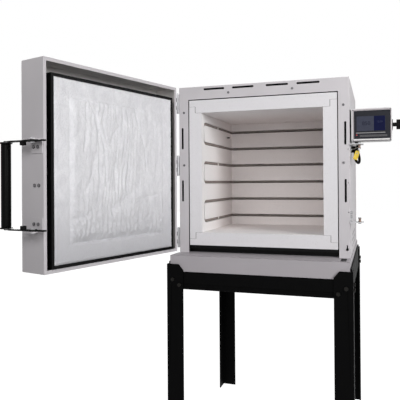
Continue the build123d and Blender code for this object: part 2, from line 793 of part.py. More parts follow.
rail_z = (rail_top - rail_width, rail_top)
flange_top = (rail_top - rail_steel, rail_top)
inner_x = (stand_x[0] + leg_steel, stand_x[1] - leg_steel)
inner_y = (stand_y[0] + leg_steel, stand_y[1] - leg_steel)
with BuildPart() as cross_rails:
    cross_x = (inner_x[0] + rail_steel + rail_gap, inner_x[1] - rail_steel - rail_gap)
    block(cross_x, (inner_y[0], inner_y[0] + rail_steel), rail_z)
    block(cross_x, (inner_y[0], inner_y[0] + rail_width), flange_top)
    for offset, height in front_bolts:
        for x in (stand_x[0] + offset, stand_x[1] - offset):
            rod((x, inner_y[0], height), (0, 1, 0), bolt_radius + bolt_clear, rail_steel,
                Mode.SUBTRACT)
    mirror(about=lengthways)

with BuildPart() as side_rails:
    side_z = (side_rail_top - side_rail_height, side_rail_top)
    block((inner_x[0], inner_x[0] + rail_steel),
          (inner_y[0] + rail_steel + rail_gap, inner_y[1] - rail_steel - rail_gap), side_z)
    block((inner_x[0], inner_x[0] + rail_width),
          (inner_y[0] + rail_width + rail_gap, inner_y[1] - rail_width - rail_gap),
          (side_z[0], side_z[0] + rail_steel))
    for offset, height in side_bolts:
        for y in (stand_y[0] + offset, stand_y[1] - offset):
            rod((inner_x[0], y, height), (1, 0, 0), bolt_radius + bolt_clear, rail_steel,
                Mode.SUBTRACT)
    mirror(about=across)

with BuildPart() as stand_bolts:
    stand_grip = leg_steel + rail_steel
    for offset, height in front_bolts:
        bolt((stand_x[0] + offset, stand_y[0], height), (0, 1, 0), bolt_radius, bolt_head,
             bolt_head_height, stand_grip, bolt_nut_height)
    for offset, height in side_bolts:
        bolt((stand_x[0], stand_y[0] + offset, height), (1, 0, 0), bolt_radius, bolt_head,
             bolt_head_height, stand_grip, bolt_nut_height)
    mirror(about=across)
    mirror(about=lengthways)

# ---- Hinges
knuckle_step = hinge_height / knuckle_count


def knuckle_spans(level, first):
    """The height limits of every second knuckle of a hinge."""
    bottom = level - hinge_height / 2
    spans = []
    for number in range(first, knuckle_count, 2):
        low = bottom + number * knuckle_step
        spans.append((low + knuckle_gap / 2, low + knuckle_step - knuckle_gap / 2))
    return spans


def hinge_span(level):
    """The height limits of a whole hinge."""
    return (level - hinge_height / 2, level + hinge_height / 2)


with BuildPart() as hinge_leaves_case:
    for level in hinge_levels:
        leaf_y = (knuckle_radius - pivot_front + leaf_clear, leaf_width)
        block((-leaf_thick, 0), leaf_y, hinge_span(level))
        for low, high in knuckle_spans(level, 0):
            block((-leaf_thick, 0), (hinge_axis[1], leaf_y[0]), (low, high))
            rod((*hinge_axis, low), (0, 0, 1), knuckle_radius, high - low)
            rod((*hinge_axis, low), (0, 0, 1), hinge_pin + running, high - low, Mode.SUBTRACT)

with BuildPart() as hinge_leaves_door:
    for level in hinge_levels:
        leaf_end = hinge_axis[1] - knuckle_radius - leaf_clear
        leaf_x = (door_x[0] - leaf_thick, door_x[0])
        block(leaf_x, (leaf_end - leaf_width, leaf_end), hinge_span(level))
        for low, high in knuckle_spans(level, 1):
            web_y = (leaf_end, hinge_axis[1] - knuckle_radius + leaf_thick)
            block((hinge_axis[0], door_x[0]), web_y, (low, high))
            rod((*hinge_axis, low), (0, 0, 1), knuckle_radius, high - low)
            rod((*hinge_axis, low), (0, 0, 1), hinge_pin + running, high - low, Mode.SUBTRACT)

with BuildPart() as hinge_pins:
    for level in hinge_levels:
        low, high = hinge_span(level)
        rod((*hinge_axis, low), (0, 0, 1), hinge_pin, high - low)
        rod((*hinge_axis, high), (0, 0, 1), hinge_pin_head, leaf_thick)

# ---- Keepers on the case: an angle plate at each arm, with a spool on a bolt
with BuildPart() as keepers:
    for way in (1, -1):
        near = latch_middle + way * (arm_offset + keeper_gap)
        far = near + way * keeper_steel
        plate_z = (min(near, far), max(near, far))
        leg_span = (min(near, near - way * keeper_leg), max(near, near - way * keeper_leg))
        block((case_width, case_width + keeper_reach), (keeper_front, keeper_back), plate_z)
        block((case_width, case_width + keeper_steel), (keeper_leg_front, keeper_back), leg_span)
    fillet(keepers.edges().filter_by(Axis.Z).group_by(Axis.X)[-1], radius=keeper_round)
    for way in (1, -1):
        near = latch_middle + way * (arm_offset + keeper_gap)
        rod((*spool_axis, near), (0, 0, way), spool_bolt + running, keeper_steel, Mode.SUBTRACT)
    for level in keeper_bolt_levels:
        rod((case_width, keeper_bolt_y, level), (1, 0, 0), edge_bolt + bolt_clear, keeper_steel,
            Mode.SUBTRACT)

spools = {}
for name, way in (("spool_upper", 1), ("spool_lower", -1)):
    with BuildPart() as spool:
        spool_start = latch_middle + way * (arm_offset + keeper_gap - spool_gap)
        bore = spool_bolt + running
        spool_plane = Plane(origin=(*spool_axis, spool_start), x_dir=(1, 0, 0), z_dir=(0, -way, 0))
        with BuildSketch(spool_plane):
            with BuildLine():
                shoulder = (spool_radius, -spool_rim)
                foot = (spool_radius, spool_rim - spool_length)
                Polyline(shoulder, (spool_radius, 0), (bore, 0), (bore, -spool_length),
                         (spool_radius, -spool_length), foot)
                ThreePointArc(foot, (spool_waist, -spool_length / 2), shoulder)
            make_face()
        revolve(axis=Axis((*spool_axis, spool_start), (0, 0, 1)))
    spools[name] = spool.part

with BuildPart() as keeper_bolts:
    for way in (1, -1):
        outside = latch_middle + way * (arm_offset + keeper_gap + keeper_steel)
        spool_grip = keeper_steel + 2 * spool_gap + spool_length
        bolt((*spool_axis, outside), (0, 0, -way), spool_bolt, spool_head, spool_head_height,
             spool_grip, spool_head_height)
    for level in keeper_bolt_levels:
        bolt((case_width + keeper_steel, keeper_bolt_y, level), (-1, 0, 0), edge_bolt,
             edge_bolt_head, edge_bolt_head_height, keeper_steel + sheet, edge_bolt_head_height)

# ---- Controller: yoke on the case, housing, panel, screen, button, knob and glands
with BuildPart() as controller_yoke:
    yoke_z = (control_z[0] + yoke_margin, control_z[1] - yoke_margin)
    yoke_x = (case_width, case_width + yoke_steel)
    block(yoke_x, (yoke_front, yoke_back), yoke_z)
    strap_y = (yoke_back - yoke_steel, yoke_back)
    strap_z = (tilt_z - strap_height / 2, tilt_z + strap_height / 2)
    block((yoke_x[1], yoke_arm_x[1]), strap_y, strap_z)
    arm_z = (tilt_z - yoke_arm_height / 2, tilt_z + yoke_arm_height / 2)
    block(yoke_arm_x, (yoke_arm_front, strap_y[0]), arm_z)
    fillet(controller_yoke.edges().filter_by(Axis.X).group_by(Axis.Y)[0], radius=yoke_round)
    rod((yoke_x[1], tilt_y, tilt_z), (1, 0, 0), yoke_boss, boss_height)
    rod((yoke_x[1] + boss_height, tilt_y, tilt_z), (1, 0, 0), tilt_pin, tilt_pin_length)
    rod((yoke_arm_x[0], tilt_y, tilt_z), (1, 0, 0), tilt_pin + running, yoke_steel, Mode.SUBTRACT)

panel_x = (control_x[0] + panel_inset[0], control_x[1] - panel_inset[1])
panel_z = (control_z[0] + panel_inset[2], control_z[1] - panel_inset[3])
panel_front = control_front + panel_setback
panel_back = panel_front + panel_thick
with BuildPart() as controller_housing:
    with BuildSketch(front(control_front + control_depth)):
        with Locations((middle(control_x), middle(control_z))):
            RectangleRounded(control_width, control_height, control_round)
    extrude(amount=control_depth)
    block(panel_x, (control_front, panel_back), panel_z, Mode.SUBTRACT)
    cavity_x = (panel_x[0] + panel_ledge, panel_x[1] - panel_ledge)
    cavity_z = (panel_z[0] + panel_ledge, panel_z[1] - panel_ledge)
    cavity_y = (panel_back, control_front + control_depth - control_wall)
    block(cavity_x, cavity_y, cavity_z, Mode.SUBTRACT)
    rod((control_x[0], tilt_y, tilt_z), (1, 0, 0), tilt_pin + running, control_width, Mode.SUBTRACT)
    chamfer(controller_housing.faces().sort_by(Axis.Y)[-1].outer_wire().edges(),
            length=control_chamfer)

screen_left = control_x[0] + screen_x[0]
screen_right = control_x[0] + screen_x[1]
screen_low = control_z[0] + screen_z[0]
screen_high = control_z[0] + screen_z[1]
button_at = (control_x[0] + button_place[0], control_z[0] + button_place[1])
with BuildPart() as controller_panel:
    fit_x = (panel_x[0] + panel_clear, panel_x[1] - panel_clear)
    fit_z = (panel_z[0] + panel_clear, panel_z[1] - panel_clear)
    block(fit_x, (panel_front, panel_back), fit_z)
    rod((button_at[0], panel_front, button_at[1]), (0, 1, 0), button_radius + running, panel_thick,
        Mode.SUBTRACT)

with BuildPart() as controller_screen:
    block((screen_left, screen_right), (panel_front - screen_thick, panel_front),
          (screen_low, screen_high))

with BuildPart() as power_button:
    button_start = control_front - button_front
    flange_start = panel_back + button_flange_clear
    rod((button_at[0], button_start, button_at[1]), (0, 1, 0), button_radius,
        flange_start - button_start)
    rod((button_at[0], flange_start, button_at[1]), (0, 1, 0), button_flange, button_flange_thick)
    fillet(power_button.edges().filter_by(GeomType.CIRCLE).sort_by(Axis.Y)[0], radius=button_round)

with BuildPart() as tilt_knob:
    neck_start = yoke_arm_x[1] + knob_gap
    stud_start = control_x[1] - knob_stud
    rod((stud_start, tilt_y, tilt_z), (1, 0, 0), tilt_pin, neck_start - stud_start)
    rod((neck_start, tilt_y, tilt_z), (1, 0, 0), knob_neck, knob_neck_length)
    head_start = neck_start + knob_neck_length
    with BuildSketch(Plane(origin=(head_start, tilt_y, tilt_z), x_dir=(0, 1, 0), z_dir=(1, 0, 0))):
        Circle(knob_radius)
        with PolarLocations(knob_radius + knob_scallop / 2, knob_scallops):
            Circle(knob_scallop, mode=Mode.SUBTRACT)
    extrude(amount=knob_length)

with BuildPart() as controller_gland:
    gland_top = (control_x[0] + control_gland_place[0], control_gland_place[1], control_z[0])
    hexagon(gland_top, (0, 0, -1), control_gland_radius, gland_nut_height)
    rod(along(gland_top, (0, 0, -1), gland_nut_height), (0, 0, -1), gland_dome,
        control_gland_height - gland_nut_height)
    gland_end = controller_gland.edges().filter_by(GeomType.CIRCLE).sort_by(Axis.Z)[0]
    fillet(gland_end, radius=control_gland_round)

# ---- Glands for the mains cable and the controller's cable, and the lead's grommet
with BuildPart() as cable_glands:
    gland(mains_seat, (0, 1, 0), sheet, gland_nut_height + gland_dome_height)
    fillet(cable_glands.edges().filter_by(GeomType.CIRCLE).sort_by(Axis.Y)[-1], radius=gland_round)
    bore_start = along(mains_seat, (0, -1, 0), sheet + gland_nut_height)
    rod(bore_start, (0, 1, 0), gland_bore, sheet + 2 * gland_nut_height + gland_dome_height,
        Mode.SUBTRACT)
    side_seat = (case_width, *side_gland_place)
    gland(side_seat, (1, 0, 0), sheet, side_gland_reach)
    elbow = along(side_seat, (1, 0, 0), side_gland_reach)
    rod(along(elbow, (0, 0, 1), elbow_radius), (0, 0, -1), elbow_radius, elbow_radius + side_gland_drop)
    grommet_seat = (case_width, grommet_place, control_z[0] - grommet_drop)
    rod(grommet_seat, (1, 0, 0), grommet_radius, grommet_height)

# ---- Cords: the controller's cable, and the thermocouple's lead with its plug
cords = {}
for name, route, radius in (("controller_cable", cable_route, cable_radius),
                            ("thermocouple_lead", lead_route, lead_radius)):
    with BuildPart() as cord:
        with BuildLine():
            FilletPolyline(*route, radius=cord_radii(route))
        first_run = Vector(*route[1]) - Vector(*route[0])
        with BuildSketch(Plane(origin=route[0], z_dir=first_run)):
            Circle(radius)
        sweep()
    cords[name] = cord.part
    print(name, "radii", [round(bend_radius, 1) for bend_radius in cord_radii(route)])

with BuildPart() as thermocouple_plug:
    hang = Vector(*lead_route[-1]) - Vector(*lead_route[-2])
    with BuildSketch(Plane(origin=lead_route[-1], x_dir=(0, 1, 0), z_dir=hang)):
        Rectangle(plug_thick, plug_width)
    extrude(amount=plug_length)
    fillet(thermocouple_plug.edges().group_by(SortBy.LENGTH)[-1], radius=plug_edge)

# ---- Door: pan, black frame, core and fibre blanket
with BuildPart() as door_pan:
    block(door_x, (skin_y, rim_y), door_z)
    fillet(door_pan.edges().group_by(Axis.Y)[0] + door_pan.edges().filter_by(Axis.Y),
           radius=base_bend)
    pan_x = (door_x[0] + sheet, door_x[1] - sheet)
    pan_z = (door_z[0] + sheet, door_z[1] - sheet)
    block(pan_x, (skin_y + sheet, rim_y - sheet), pan_z, Mode.SUBTRACT)
    rim_x = (door_x[0] + rim_flange, door_x[1] - rim_flange)
    rim_z = (door_z[0] + rim_flange, door_z[1] - rim_flange)
    block(rim_x, (rim_y - sheet, rim_y), rim_z, Mode.SUBTRACT)

edge_bolt_levels = [latch_middle + way * (arm_offset - edge_bolt_drop) for way in (1, -1)]
edge_bolt_places = [(rim_y - depth, level) for depth in edge_bolt_depths
                    for level in (*edge_bolt_levels, latch_middle)]
with BuildPart(mode=Mode.PRIVATE) as edge_holes:
    for y, z in edge_bolt_places:
        rod((door_x[1] - sheet, y, z), (1, 0, 0), edge_bolt + bolt_clear, sheet)
door_pan.part = door_pan.part - edge_holes.part

frame_y = (skin_y + sheet, -frame_stand_off)
with BuildPart() as door_frame:
    block(frame_x, frame_y, frame_z)
    hollow_x = (frame_x[0] + sheet, frame_x[1] - sheet)
    hollow_z = (frame_z[0] + sheet, frame_z[1] - sheet)
    block(hollow_x, (frame_y[0], frame_y[1] - frame_face), hollow_z, Mode.SUBTRACT)
    window_x = (frame_x[0] + frame_flange, frame_x[1] - frame_flange)
    window_z = (frame_z[0] + frame_flange, frame_z[1] - frame_flange)
    block(window_x, (frame_y[1] - frame_face, frame_y[1]), window_z, Mode.SUBTRACT)

blanket_back = blanket_y - blanket_depth
with BuildPart() as door_core:
    core_x = (hollow_x[0] + core_clear, hollow_x[1] - core_clear)
    core_z = (hollow_z[0] + core_clear, hollow_z[1] - core_clear)
    block(core_x, (frame_y[0], blanket_back), core_z)

with BuildPart() as door_blanket:
    blanket_x = (window_x[0] + blanket_clear, window_x[1] - blanket_clear)
    blanket_z = (window_z[0] + blanket_clear, window_z[1] - blanket_clear)
    block(blanket_x, (blanket_back, blanket_y), blanket_z)
    fillet(door_blanket.edges().group_by(Axis.Y)[-1], radius=blanket_round)
    plug_x = (chamber_x[0] + plug_clear, chamber_x[1] - plug_clear)
    plug_z = (chamber_z[0] + plug_clear, chamber_z[1] - plug_clear)
    block(plug_x, (blanket_y, blanket_y + plug_rise), plug_z)
    fillet(door_blanket.edges().group_by(Axis.Y)[-1], radius=plug_round)

# ---- Handle: brackets, pivots and bolts on the door, and the arms with their bar
with BuildPart() as handle_brackets:
    for way in (1, -1):
        near = latch_middle + way * (arm_offset + arm_thick / 2 + bracket_gap)
        far = near + way * bracket_steel
        flat_z = (min(near, far), max(near, far))
        leg_span = (min(near, near - way * bracket_leg), max(near, near - way * bracket_leg))
        bracket_y = (bracket_front, bracket_back)
        block((door_x[1], door_x[1] + bracket_reach), bracket_y, flat_z)
        block((door_x[1], door_x[1] + bracket_steel), bracket_y, leg_span)
    fillet(handle_brackets.edges().filter_by(Axis.Z).group_by(Axis.X)[-1], radius=bracket_round)
    for way in (1, -1):
        near = latch_middle + way * (arm_offset + arm_thick / 2 + bracket_gap)
        rod((*handle_pivot, near), (0, 0, way), pivot_radius + running, bracket_steel, Mode.SUBTRACT)
    for y, z in edge_bolt_places:
        rod((door_x[1], y, z), (1, 0, 0), edge_bolt + bolt_clear, bracket_steel, Mode.SUBTRACT)

with BuildPart() as handle_pivots:
    for way in (1, -1):
        outside = latch_middle + way * (arm_offset + arm_thick / 2 + bracket_gap + bracket_steel)
        pivot_grip = bracket_steel + bracket_gap + arm_thick + pivot_play
        bolt((*handle_pivot, outside), (0, 0, -way), pivot_radius, pivot_head, pivot_head_height,
             pivot_grip, pivot_head_height)

with BuildPart() as door_edge_bolts:
    for y, z in edge_bolt_places:
        seat_x = door_x[1] if z == latch_middle else door_x[1] + bracket_steel
        bolt((seat_x, y, z), (-1, 0, 0), edge_bolt, edge_bolt_head, edge_bolt_head_height,
             seat_x - door_x[1] + sheet, edge_bolt_head_height)

with BuildPart() as handle_arms:
    for level in arm_levels:
        with BuildSketch(Plane.XY.offset(level - arm_thick / 2)):
            with BuildLine():
                FilletPolyline(handle_pivot, handle_knee, handle_end, radius=arm_knee_round)
            trace(line_width=arm_width)
            with Locations(handle_pivot):
                Circle(pivot_boss)
            with Locations(handle_end):
                Circle(end_boss)
            throat = case_width + claw_throat
            panel((case_width + claw_left, throat), (handle_pivot[1], claw_back))
            panel((throat, case_width + claw_tip), (claw_front, claw_back))
            with Locations(handle_pivot):
                Circle(pivot_radius + running, mode=Mode.SUBTRACT)
            with Locations(handle_end):
                Circle(bar_bolt + running, mode=Mode.SUBTRACT)
        extrude(amount=arm_thick)
    claw_edges = handle_arms.edges().filter_by(Axis.Z).group_by(Axis.Y)[-1]
    fillet(claw_edges, radius=claw_round)

bar_half = arm_offset - arm_thick / 2
with BuildPart() as handle_bar:
    rod((*handle_end, latch_middle - bar_half), (0, 0, 1), bar_radius, 2 * bar_half)
    fillet(handle_bar.edges().filter_by(GeomType.CIRCLE), radius=bar_round)
    for way in (1, -1):
        rod((*handle_end, latch_middle + way * bar_half), (0, 0, -way), bar_bolt + running,
            bar_bore, Mode.SUBTRACT)

with BuildPart() as handle_bolts:
    for way in (1, -1):
        arm_face = latch_middle + way * (arm_offset + arm_thick / 2)
        bolt((*handle_end, arm_face), (0, 0, -way), bar_bolt, pivot_head, pivot_head_height,
             arm_thick + bar_bore - bar_bolt_play, 0)

with BuildPart() as handle_bumpers:
    share = bumper_place / (Vector(*handle_knee) - Vector(*handle_pivot)).length
    bumper_at = [p + (k - p) * share for p, k in zip(handle_pivot, handle_knee)]
    for way in (1, -1):
        arm_inside = latch_middle + way * bar_half
        rod((*bumper_at, arm_inside), (0, 0, -way), bumper_radius, bumper_height)
    fillet(handle_bumpers.edges().filter_by(GeomType.CIRCLE), radius=bumper_round)

# ---- Open the door and its handle, put the origin on the floor, and write every piece
handle_pieces = {
    "handle_arms": handle_arms.part,
    "handle_bar": handle_bar.part,
    "handle_bolts": handle_bolts.part,
    "handle_bumpers": handle_bumpers.part,
}
door_pieces = {
    "door_pan": door_pan.part,
    "door_frame": door_frame.part,
    "door_core": door_core.part,
    "door_blanket": door_blanket.part,
    "hinge_leaves_door": hinge_leaves_door.part,
    "handle_brackets": handle_brackets.part,
    "handle_pivots": handle_pivots.part,
    "door_edge_bolts": door_edge_bolts.part,
}
standing_pieces = {
    "base_pan": base_pan.part,
    "base_floor": base_floor.part,
    "base_feet": base_feet.part,
    "heat_sink": heat_sink.part,
    "relay_module": relay_module.part,
    "door_switch": door_switch.part,
    "case_shell": case_shell.part,
    "back_panel": back_panel.part,
    "front_frame": front_frame.part,
    "face_screws": face_screws.part,
    "rear_cover": rear_cover.part,
    "top_board": top_board.part,
    "bottom_board": bottom_board.part,
    "left_board": left_board.part,
    "right_board": right_board.part,
    "back_board": back_board.part,
    "hearth_support": hearth_support.part,
    "backup_wool": backup_wool.part,
    "element_pins": element_pins.part,
    "terminal_blocks": terminal_blocks.part,
    "thermocouple": thermocouple.part,
    "leg_front_left": leg_front_left.part,
    "leg_front_right": leg_front_right.part,
    "leg_rear_left": leg_rear_left.part,
    "leg_rear_right": leg_rear_right.part,
    "cross_rails": cross_rails.part,
    "side_rails": side_rails.part,
    "stand_bolts": stand_bolts.part,
    "hinge_leaves_case": hinge_leaves_case.part,
    "hinge_pins": hinge_pins.part,
    "keepers": keepers.part,
    "keeper_bolts": keeper_bolts.part,
    "controller_yoke": controller_yoke.part,
    "controller_housing": controller_housing.part,
    "controller_panel": controller_panel.part,
    "controller_screen": controller_screen.part,
    "power_button": power_button.part,
    "tilt_knob": tilt_knob.part,
    "controller_gland": controller_gland.part,
    "cable_glands": cable_glands.part,
    "thermocouple_plug": thermocouple_plug.part,
    **elements,
    **spools,
    **cords,
}

handle_turn = Axis((*handle_pivot, 0), (0, 0, 1))
door_turn = Axis((*hinge_axis, 0), (0, 0, 1))
for name, piece in handle_pieces.items():
    door_pieces[name] = piece.rotate(handle_turn, handle_swing)
placed = dict(standing_pieces)
for name, piece in door_pieces.items():
    placed[name] = piece.rotate(door_turn, -door_open)

on_cords = (*cords, "thermocouple_plug")
boxes = [piece.bounding_box() for name, piece in placed.items() if name not in on_cords]
origin_x = (min(box.min.X for box in boxes) + max(box.max.X for box in boxes)) / 2
origin_y = (min(box.min.Y for box in boxes) + max(box.max.Y for box in boxes)) / 2
print("origin in the modelling frame", round(origin_x, 3), round(origin_y, 3), round(floor_z, 3))

for name, piece in placed.items():
    finished = piece.translate((-origin_x, -origin_y, -floor_z))
    finished.label = name
    export_step(finished, f"parts/{name}.step")
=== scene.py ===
import json
import math

import bmesh
import bpy
import numpy as np
from mathutils import Matrix, Vector, noise

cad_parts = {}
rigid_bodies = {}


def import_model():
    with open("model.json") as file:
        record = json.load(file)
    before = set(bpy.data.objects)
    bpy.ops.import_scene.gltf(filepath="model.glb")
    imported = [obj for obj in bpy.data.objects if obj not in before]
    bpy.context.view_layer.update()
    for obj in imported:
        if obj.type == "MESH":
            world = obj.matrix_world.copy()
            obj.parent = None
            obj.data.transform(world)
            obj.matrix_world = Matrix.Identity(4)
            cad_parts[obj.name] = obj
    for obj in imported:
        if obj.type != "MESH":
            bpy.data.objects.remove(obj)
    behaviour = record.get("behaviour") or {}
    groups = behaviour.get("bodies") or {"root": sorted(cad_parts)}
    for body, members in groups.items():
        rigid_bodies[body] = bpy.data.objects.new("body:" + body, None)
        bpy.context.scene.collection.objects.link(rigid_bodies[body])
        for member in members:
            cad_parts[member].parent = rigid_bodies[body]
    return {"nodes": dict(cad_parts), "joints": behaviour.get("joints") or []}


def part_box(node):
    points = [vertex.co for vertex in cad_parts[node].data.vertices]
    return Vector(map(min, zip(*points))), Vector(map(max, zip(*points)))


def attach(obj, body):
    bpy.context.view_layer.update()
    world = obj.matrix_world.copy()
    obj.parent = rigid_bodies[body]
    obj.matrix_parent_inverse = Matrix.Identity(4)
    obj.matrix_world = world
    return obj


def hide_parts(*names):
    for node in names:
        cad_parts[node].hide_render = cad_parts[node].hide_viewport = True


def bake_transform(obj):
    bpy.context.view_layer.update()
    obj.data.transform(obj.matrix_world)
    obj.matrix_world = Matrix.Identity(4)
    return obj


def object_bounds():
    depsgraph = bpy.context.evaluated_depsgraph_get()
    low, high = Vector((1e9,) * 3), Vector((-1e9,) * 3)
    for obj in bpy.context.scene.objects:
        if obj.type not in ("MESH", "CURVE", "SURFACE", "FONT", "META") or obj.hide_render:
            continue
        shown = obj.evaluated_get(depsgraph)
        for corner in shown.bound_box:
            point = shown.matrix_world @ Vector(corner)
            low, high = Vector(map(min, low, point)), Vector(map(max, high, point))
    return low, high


# Bead annealing kiln: finishes, wound elements, fibre blanket, cords, fasteners and controller
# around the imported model.  Sizes are in millimetres, and MM turns them into metres.  "Case"
# places run right from the case's left wall, back from its steel face and up from the sill.
# "Door" places are those of the closed door in the same frame.

for leftover in list(bpy.data.objects):
    bpy.data.objects.remove(leftover)
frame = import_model()
cad_low, cad_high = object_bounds()
MM = 0.001

# ---- Places on the case and the door
case_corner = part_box("front_frame")[0]
swing = next(joint for joint in frame["joints"] if joint["name"] == "door_swing")
hinge_point = Vector(swing["pos_m"])
door_turn = math.radians(swing["range_deg"][0])


def about(point, angle):
    """A turn round the upright line through a point."""
    return Matrix.Translation(point) @ Matrix.Rotation(angle, 4, "Z") @ Matrix.Translation(-point)


CASE = Matrix.Translation(case_corner) @ Matrix.Scale(MM, 4)
DOOR = about(hinge_point, door_turn) @ CASE


def on_case(x, y, z):
    """A place on the case, in metres."""
    return CASE @ Vector((x, y, z))


def on_door(x, y, z):
    """A place on the closed door, in metres where the door stands open."""
    return DOOR @ Vector((x, y, z))


def box_mm(node):
    """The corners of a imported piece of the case, in the case's millimetres."""
    return [CASE.inverted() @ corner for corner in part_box(node)]


case_size = box_mm("case_shell")[1]
middle_x, middle_z = case_size.x / 2, case_size.z / 2


# ---- Finishes
def shader_socket(material, name):
    return material.node_tree.nodes["Principled BSDF"].inputs[name.replace("_", " ")]


def finish(name, colour, roughness, metallic=0.0, **sockets):
    """A material whose even values stand on the shader itself."""
    material = bpy.data.materials.new(name)
    material.use_nodes = True
    even = dict(Base_Color=(*colour, 1), Roughness=roughness, Metallic=metallic, **sockets)
    for socket, value in even.items():
        shader_socket(material, socket).default_value = value
    return material


def add_node(material, kind, **inputs):
    """A shader node of a material or world, with its input values set by name."""
    node = material.node_tree.nodes.new("ShaderNode" + kind)
    for socket, value in inputs.items():
        node.inputs[socket.replace("_", " ")].default_value = value
    return node


def join(material, source, target):
    """Joins a socket to another one, or sets it to a colour or a plain value."""
    if isinstance(source, bpy.types.NodeSocket):
        material.node_tree.links.new(source, target)
    else:
        target.default_value = (*source, 1) if isinstance(source, tuple) else source


def combined(material, operation, first, second):
    """Two sockets or values put together by an operation."""
    node = add_node(material, "Math")
    node.operation = operation
    join(material, first, node.inputs[0])
    join(material, second, node.inputs[1])
    return node.outputs[0]


def object_place(material, stretch=(1, 1, 1)):
    """Object coordinates, stretched for grain that runs one way."""
    place = add_node(material, "TexCoord")
    mapping = add_node(material, "Mapping", Scale=stretch)
    join(material, place.outputs["Object"], mapping.inputs["Vector"])
    return mapping.outputs["Vector"]


def one_axis(material, axis):
    """One axis of the object coordinates."""
    place = add_node(material, "SeparateXYZ")
    join(material, object_place(material), place.inputs["Vector"])
    return place.outputs[axis]


def grain(material, scale, detail=4, roughness=0.55, stretch=(1, 1, 1), distortion=0.0):
    """Noise of a given scale, in waves to the metre."""
    texture = add_node(material, "TexNoise", Scale=scale, Detail=detail, Roughness=roughness,
                       Distortion=distortion)
    join(material, object_place(material, stretch), texture.inputs["Vector"])
    return texture.outputs[0]


def remap(material, value, low, high, to_low=0.0, to_high=1.0):
    """A value moved from one range to another, held at its ends."""
    node = add_node(material, "MapRange", From_Min=low, From_Max=high, To_Min=to_low,
                    To_Max=to_high)
    join(material, value, node.inputs["Value"])
    return node.outputs["Result"]


# the sockets of a mix node: its share, its two colours and the colour that comes out
MIX_SHARE, MIX_FIRST, MIX_SECOND, MIX_RESULT = 0, 6, 7, 2


def mix_colour(material, share, first, second):
    """Two colours mixed by a share. Each may be a value or a socket."""
    node = add_node(material, "Mix")
    node.data_type = "RGBA"
    for place, value in ((MIX_SHARE, share), (MIX_FIRST, first), (MIX_SECOND, second)):
        join(material, value, node.inputs[place])
    return node.outputs[MIX_RESULT]


def dimmed(colour, share):
    return tuple(c * share for c in colour)


def paint(material, colour):
    join(material, colour, shader_socket(material, "Base Color"))


def relief(material, height, depth, strength=1.0, before=None):
    """Fine relief of a depth in metres. Several follow one another."""
    bump = add_node(material, "Bump", Strength=strength, Distance=depth)
    join(material, height, bump.inputs["Height"])
    if before is not None:
        join(material, before, bump.inputs["Normal"])
    join(material, bump.outputs["Normal"], shader_socket(material, "Normal"))
    return bump.outputs["Normal"]


def vary_gloss(material, texture, roughness, less, more):
    """A roughness that follows a texture, from a little less than its even value to more."""
    value = remap(material, texture, 0.3, 0.7, roughness - less, roughness + more)
    join(material, value, shader_socket(material, "Roughness"))


def powder_coat(name, colour, roughness, depth=0.00006, **sockets):
    """Powder coat: orange peel, a faint cloudiness and a gloss that varies a little."""
    coat = finish(name, colour, roughness, **sockets)
    cloud = remap(coat, grain(coat, 5, 3), 0.35, 0.65)
    darker = dimmed(colour, 0.93)
    speck = remap(coat, grain(coat, 1500, 2), 0.42, 0.72, 0.0, 0.35)
    paint(coat, mix_colour(coat, speck, mix_colour(coat, cloud, darker, colour), darker))
    vary_gloss(coat, grain(coat, 40, 4), roughness, 0.07, 0.07)
    relief(coat, grain(coat, 620, 2, 0.4), depth)
    return coat


def plated(name, colour, roughness, streak=(1, 1, 1)):
    """Plated or rolled metal: fine streaks and dull patches."""
    metal = finish(name, colour, roughness, 1.0)
    patch = remap(metal, grain(metal, 55, 5), 0.35, 0.7)
    paint(metal, mix_colour(metal, patch, colour, dimmed(colour, 0.72)))
    vary_gloss(metal, grain(metal, 90, 4, 0.6, streak), roughness, 0.08, 0.14)
    relief(metal, grain(metal, 900, 3, 0.6, streak), 0.00002)
    return metal


def moulded(name, colour, roughness, depth=0.00003, **sockets):
    """Moulded plastic or rubber with a fine spark-eroded texture."""
    plastic = finish(name, colour, roughness, **sockets)
    tone = remap(plastic, grain(plastic, 30, 3), 0.35, 0.65)
    paint(plastic, mix_colour(plastic, tone, colour, dimmed(colour, 0.85)))
    vary_gloss(plastic, grain(plastic, 120, 3), roughness, 0.05, 0.08)
    relief(plastic, grain(plastic, 1400, 2), depth)
    return plastic


def display_glass(name, colour, dark, light, ior):
    """Display glass with a faint mottle."""
    glass = finish(name, colour, 0.3, IOR=ior)
    paint(glass, mix_colour(glass, grain(glass, 90, 2), dark, light))
    return glass


board_white = (0.735, 0.72, 0.74)
# painted light: the inside of the chamber takes a lighter tone of the same white as the boards'
# front
board_lit_inside = (0.875, 0.855, 0.855)
board_warm = (0.84, 0.785, 0.77)


def fibre_board(name, fired_from=None):
    """Rigid fibre board: a sanded face, short fibres, a lighter tone inside the chamber than on
    its front, which is painted light, and a warmer tone where it is fired.
    """
    board = finish(name, board_white, 0.92)
    tone = board_white
    if fired_from is not None:
        deep = one_axis(board, "Y")
        depth = remap(board, deep, fired_from + 0.04, fired_from + 0.30)
        blotch = remap(board, grain(board, 4, 4), 0.3, 0.7, 0.75, 1.0)
        share = combined(board, "MULTIPLY", depth, blotch)
        inner = mix_colour(board, share, board_lit_inside, board_warm)
        inside = remap(board, deep, fired_from, fired_from + 0.008)
        tone = mix_colour(board, inside, board_white, inner)
    fleck = remap(board, grain(board, 230, 6, 0.7), 0.56, 0.8, 0.0, 0.5)
    paint(board, mix_colour(board, fleck, tone, (0.45, 0.41, 0.39)))
    sanded = relief(board, grain(board, 90, 6, 0.7, (1, 1, 3)), 0.0006, 0.7)
    relief(board, grain(board, 700, 4, 0.7), 0.00025, 0.8, sanded)
    return board


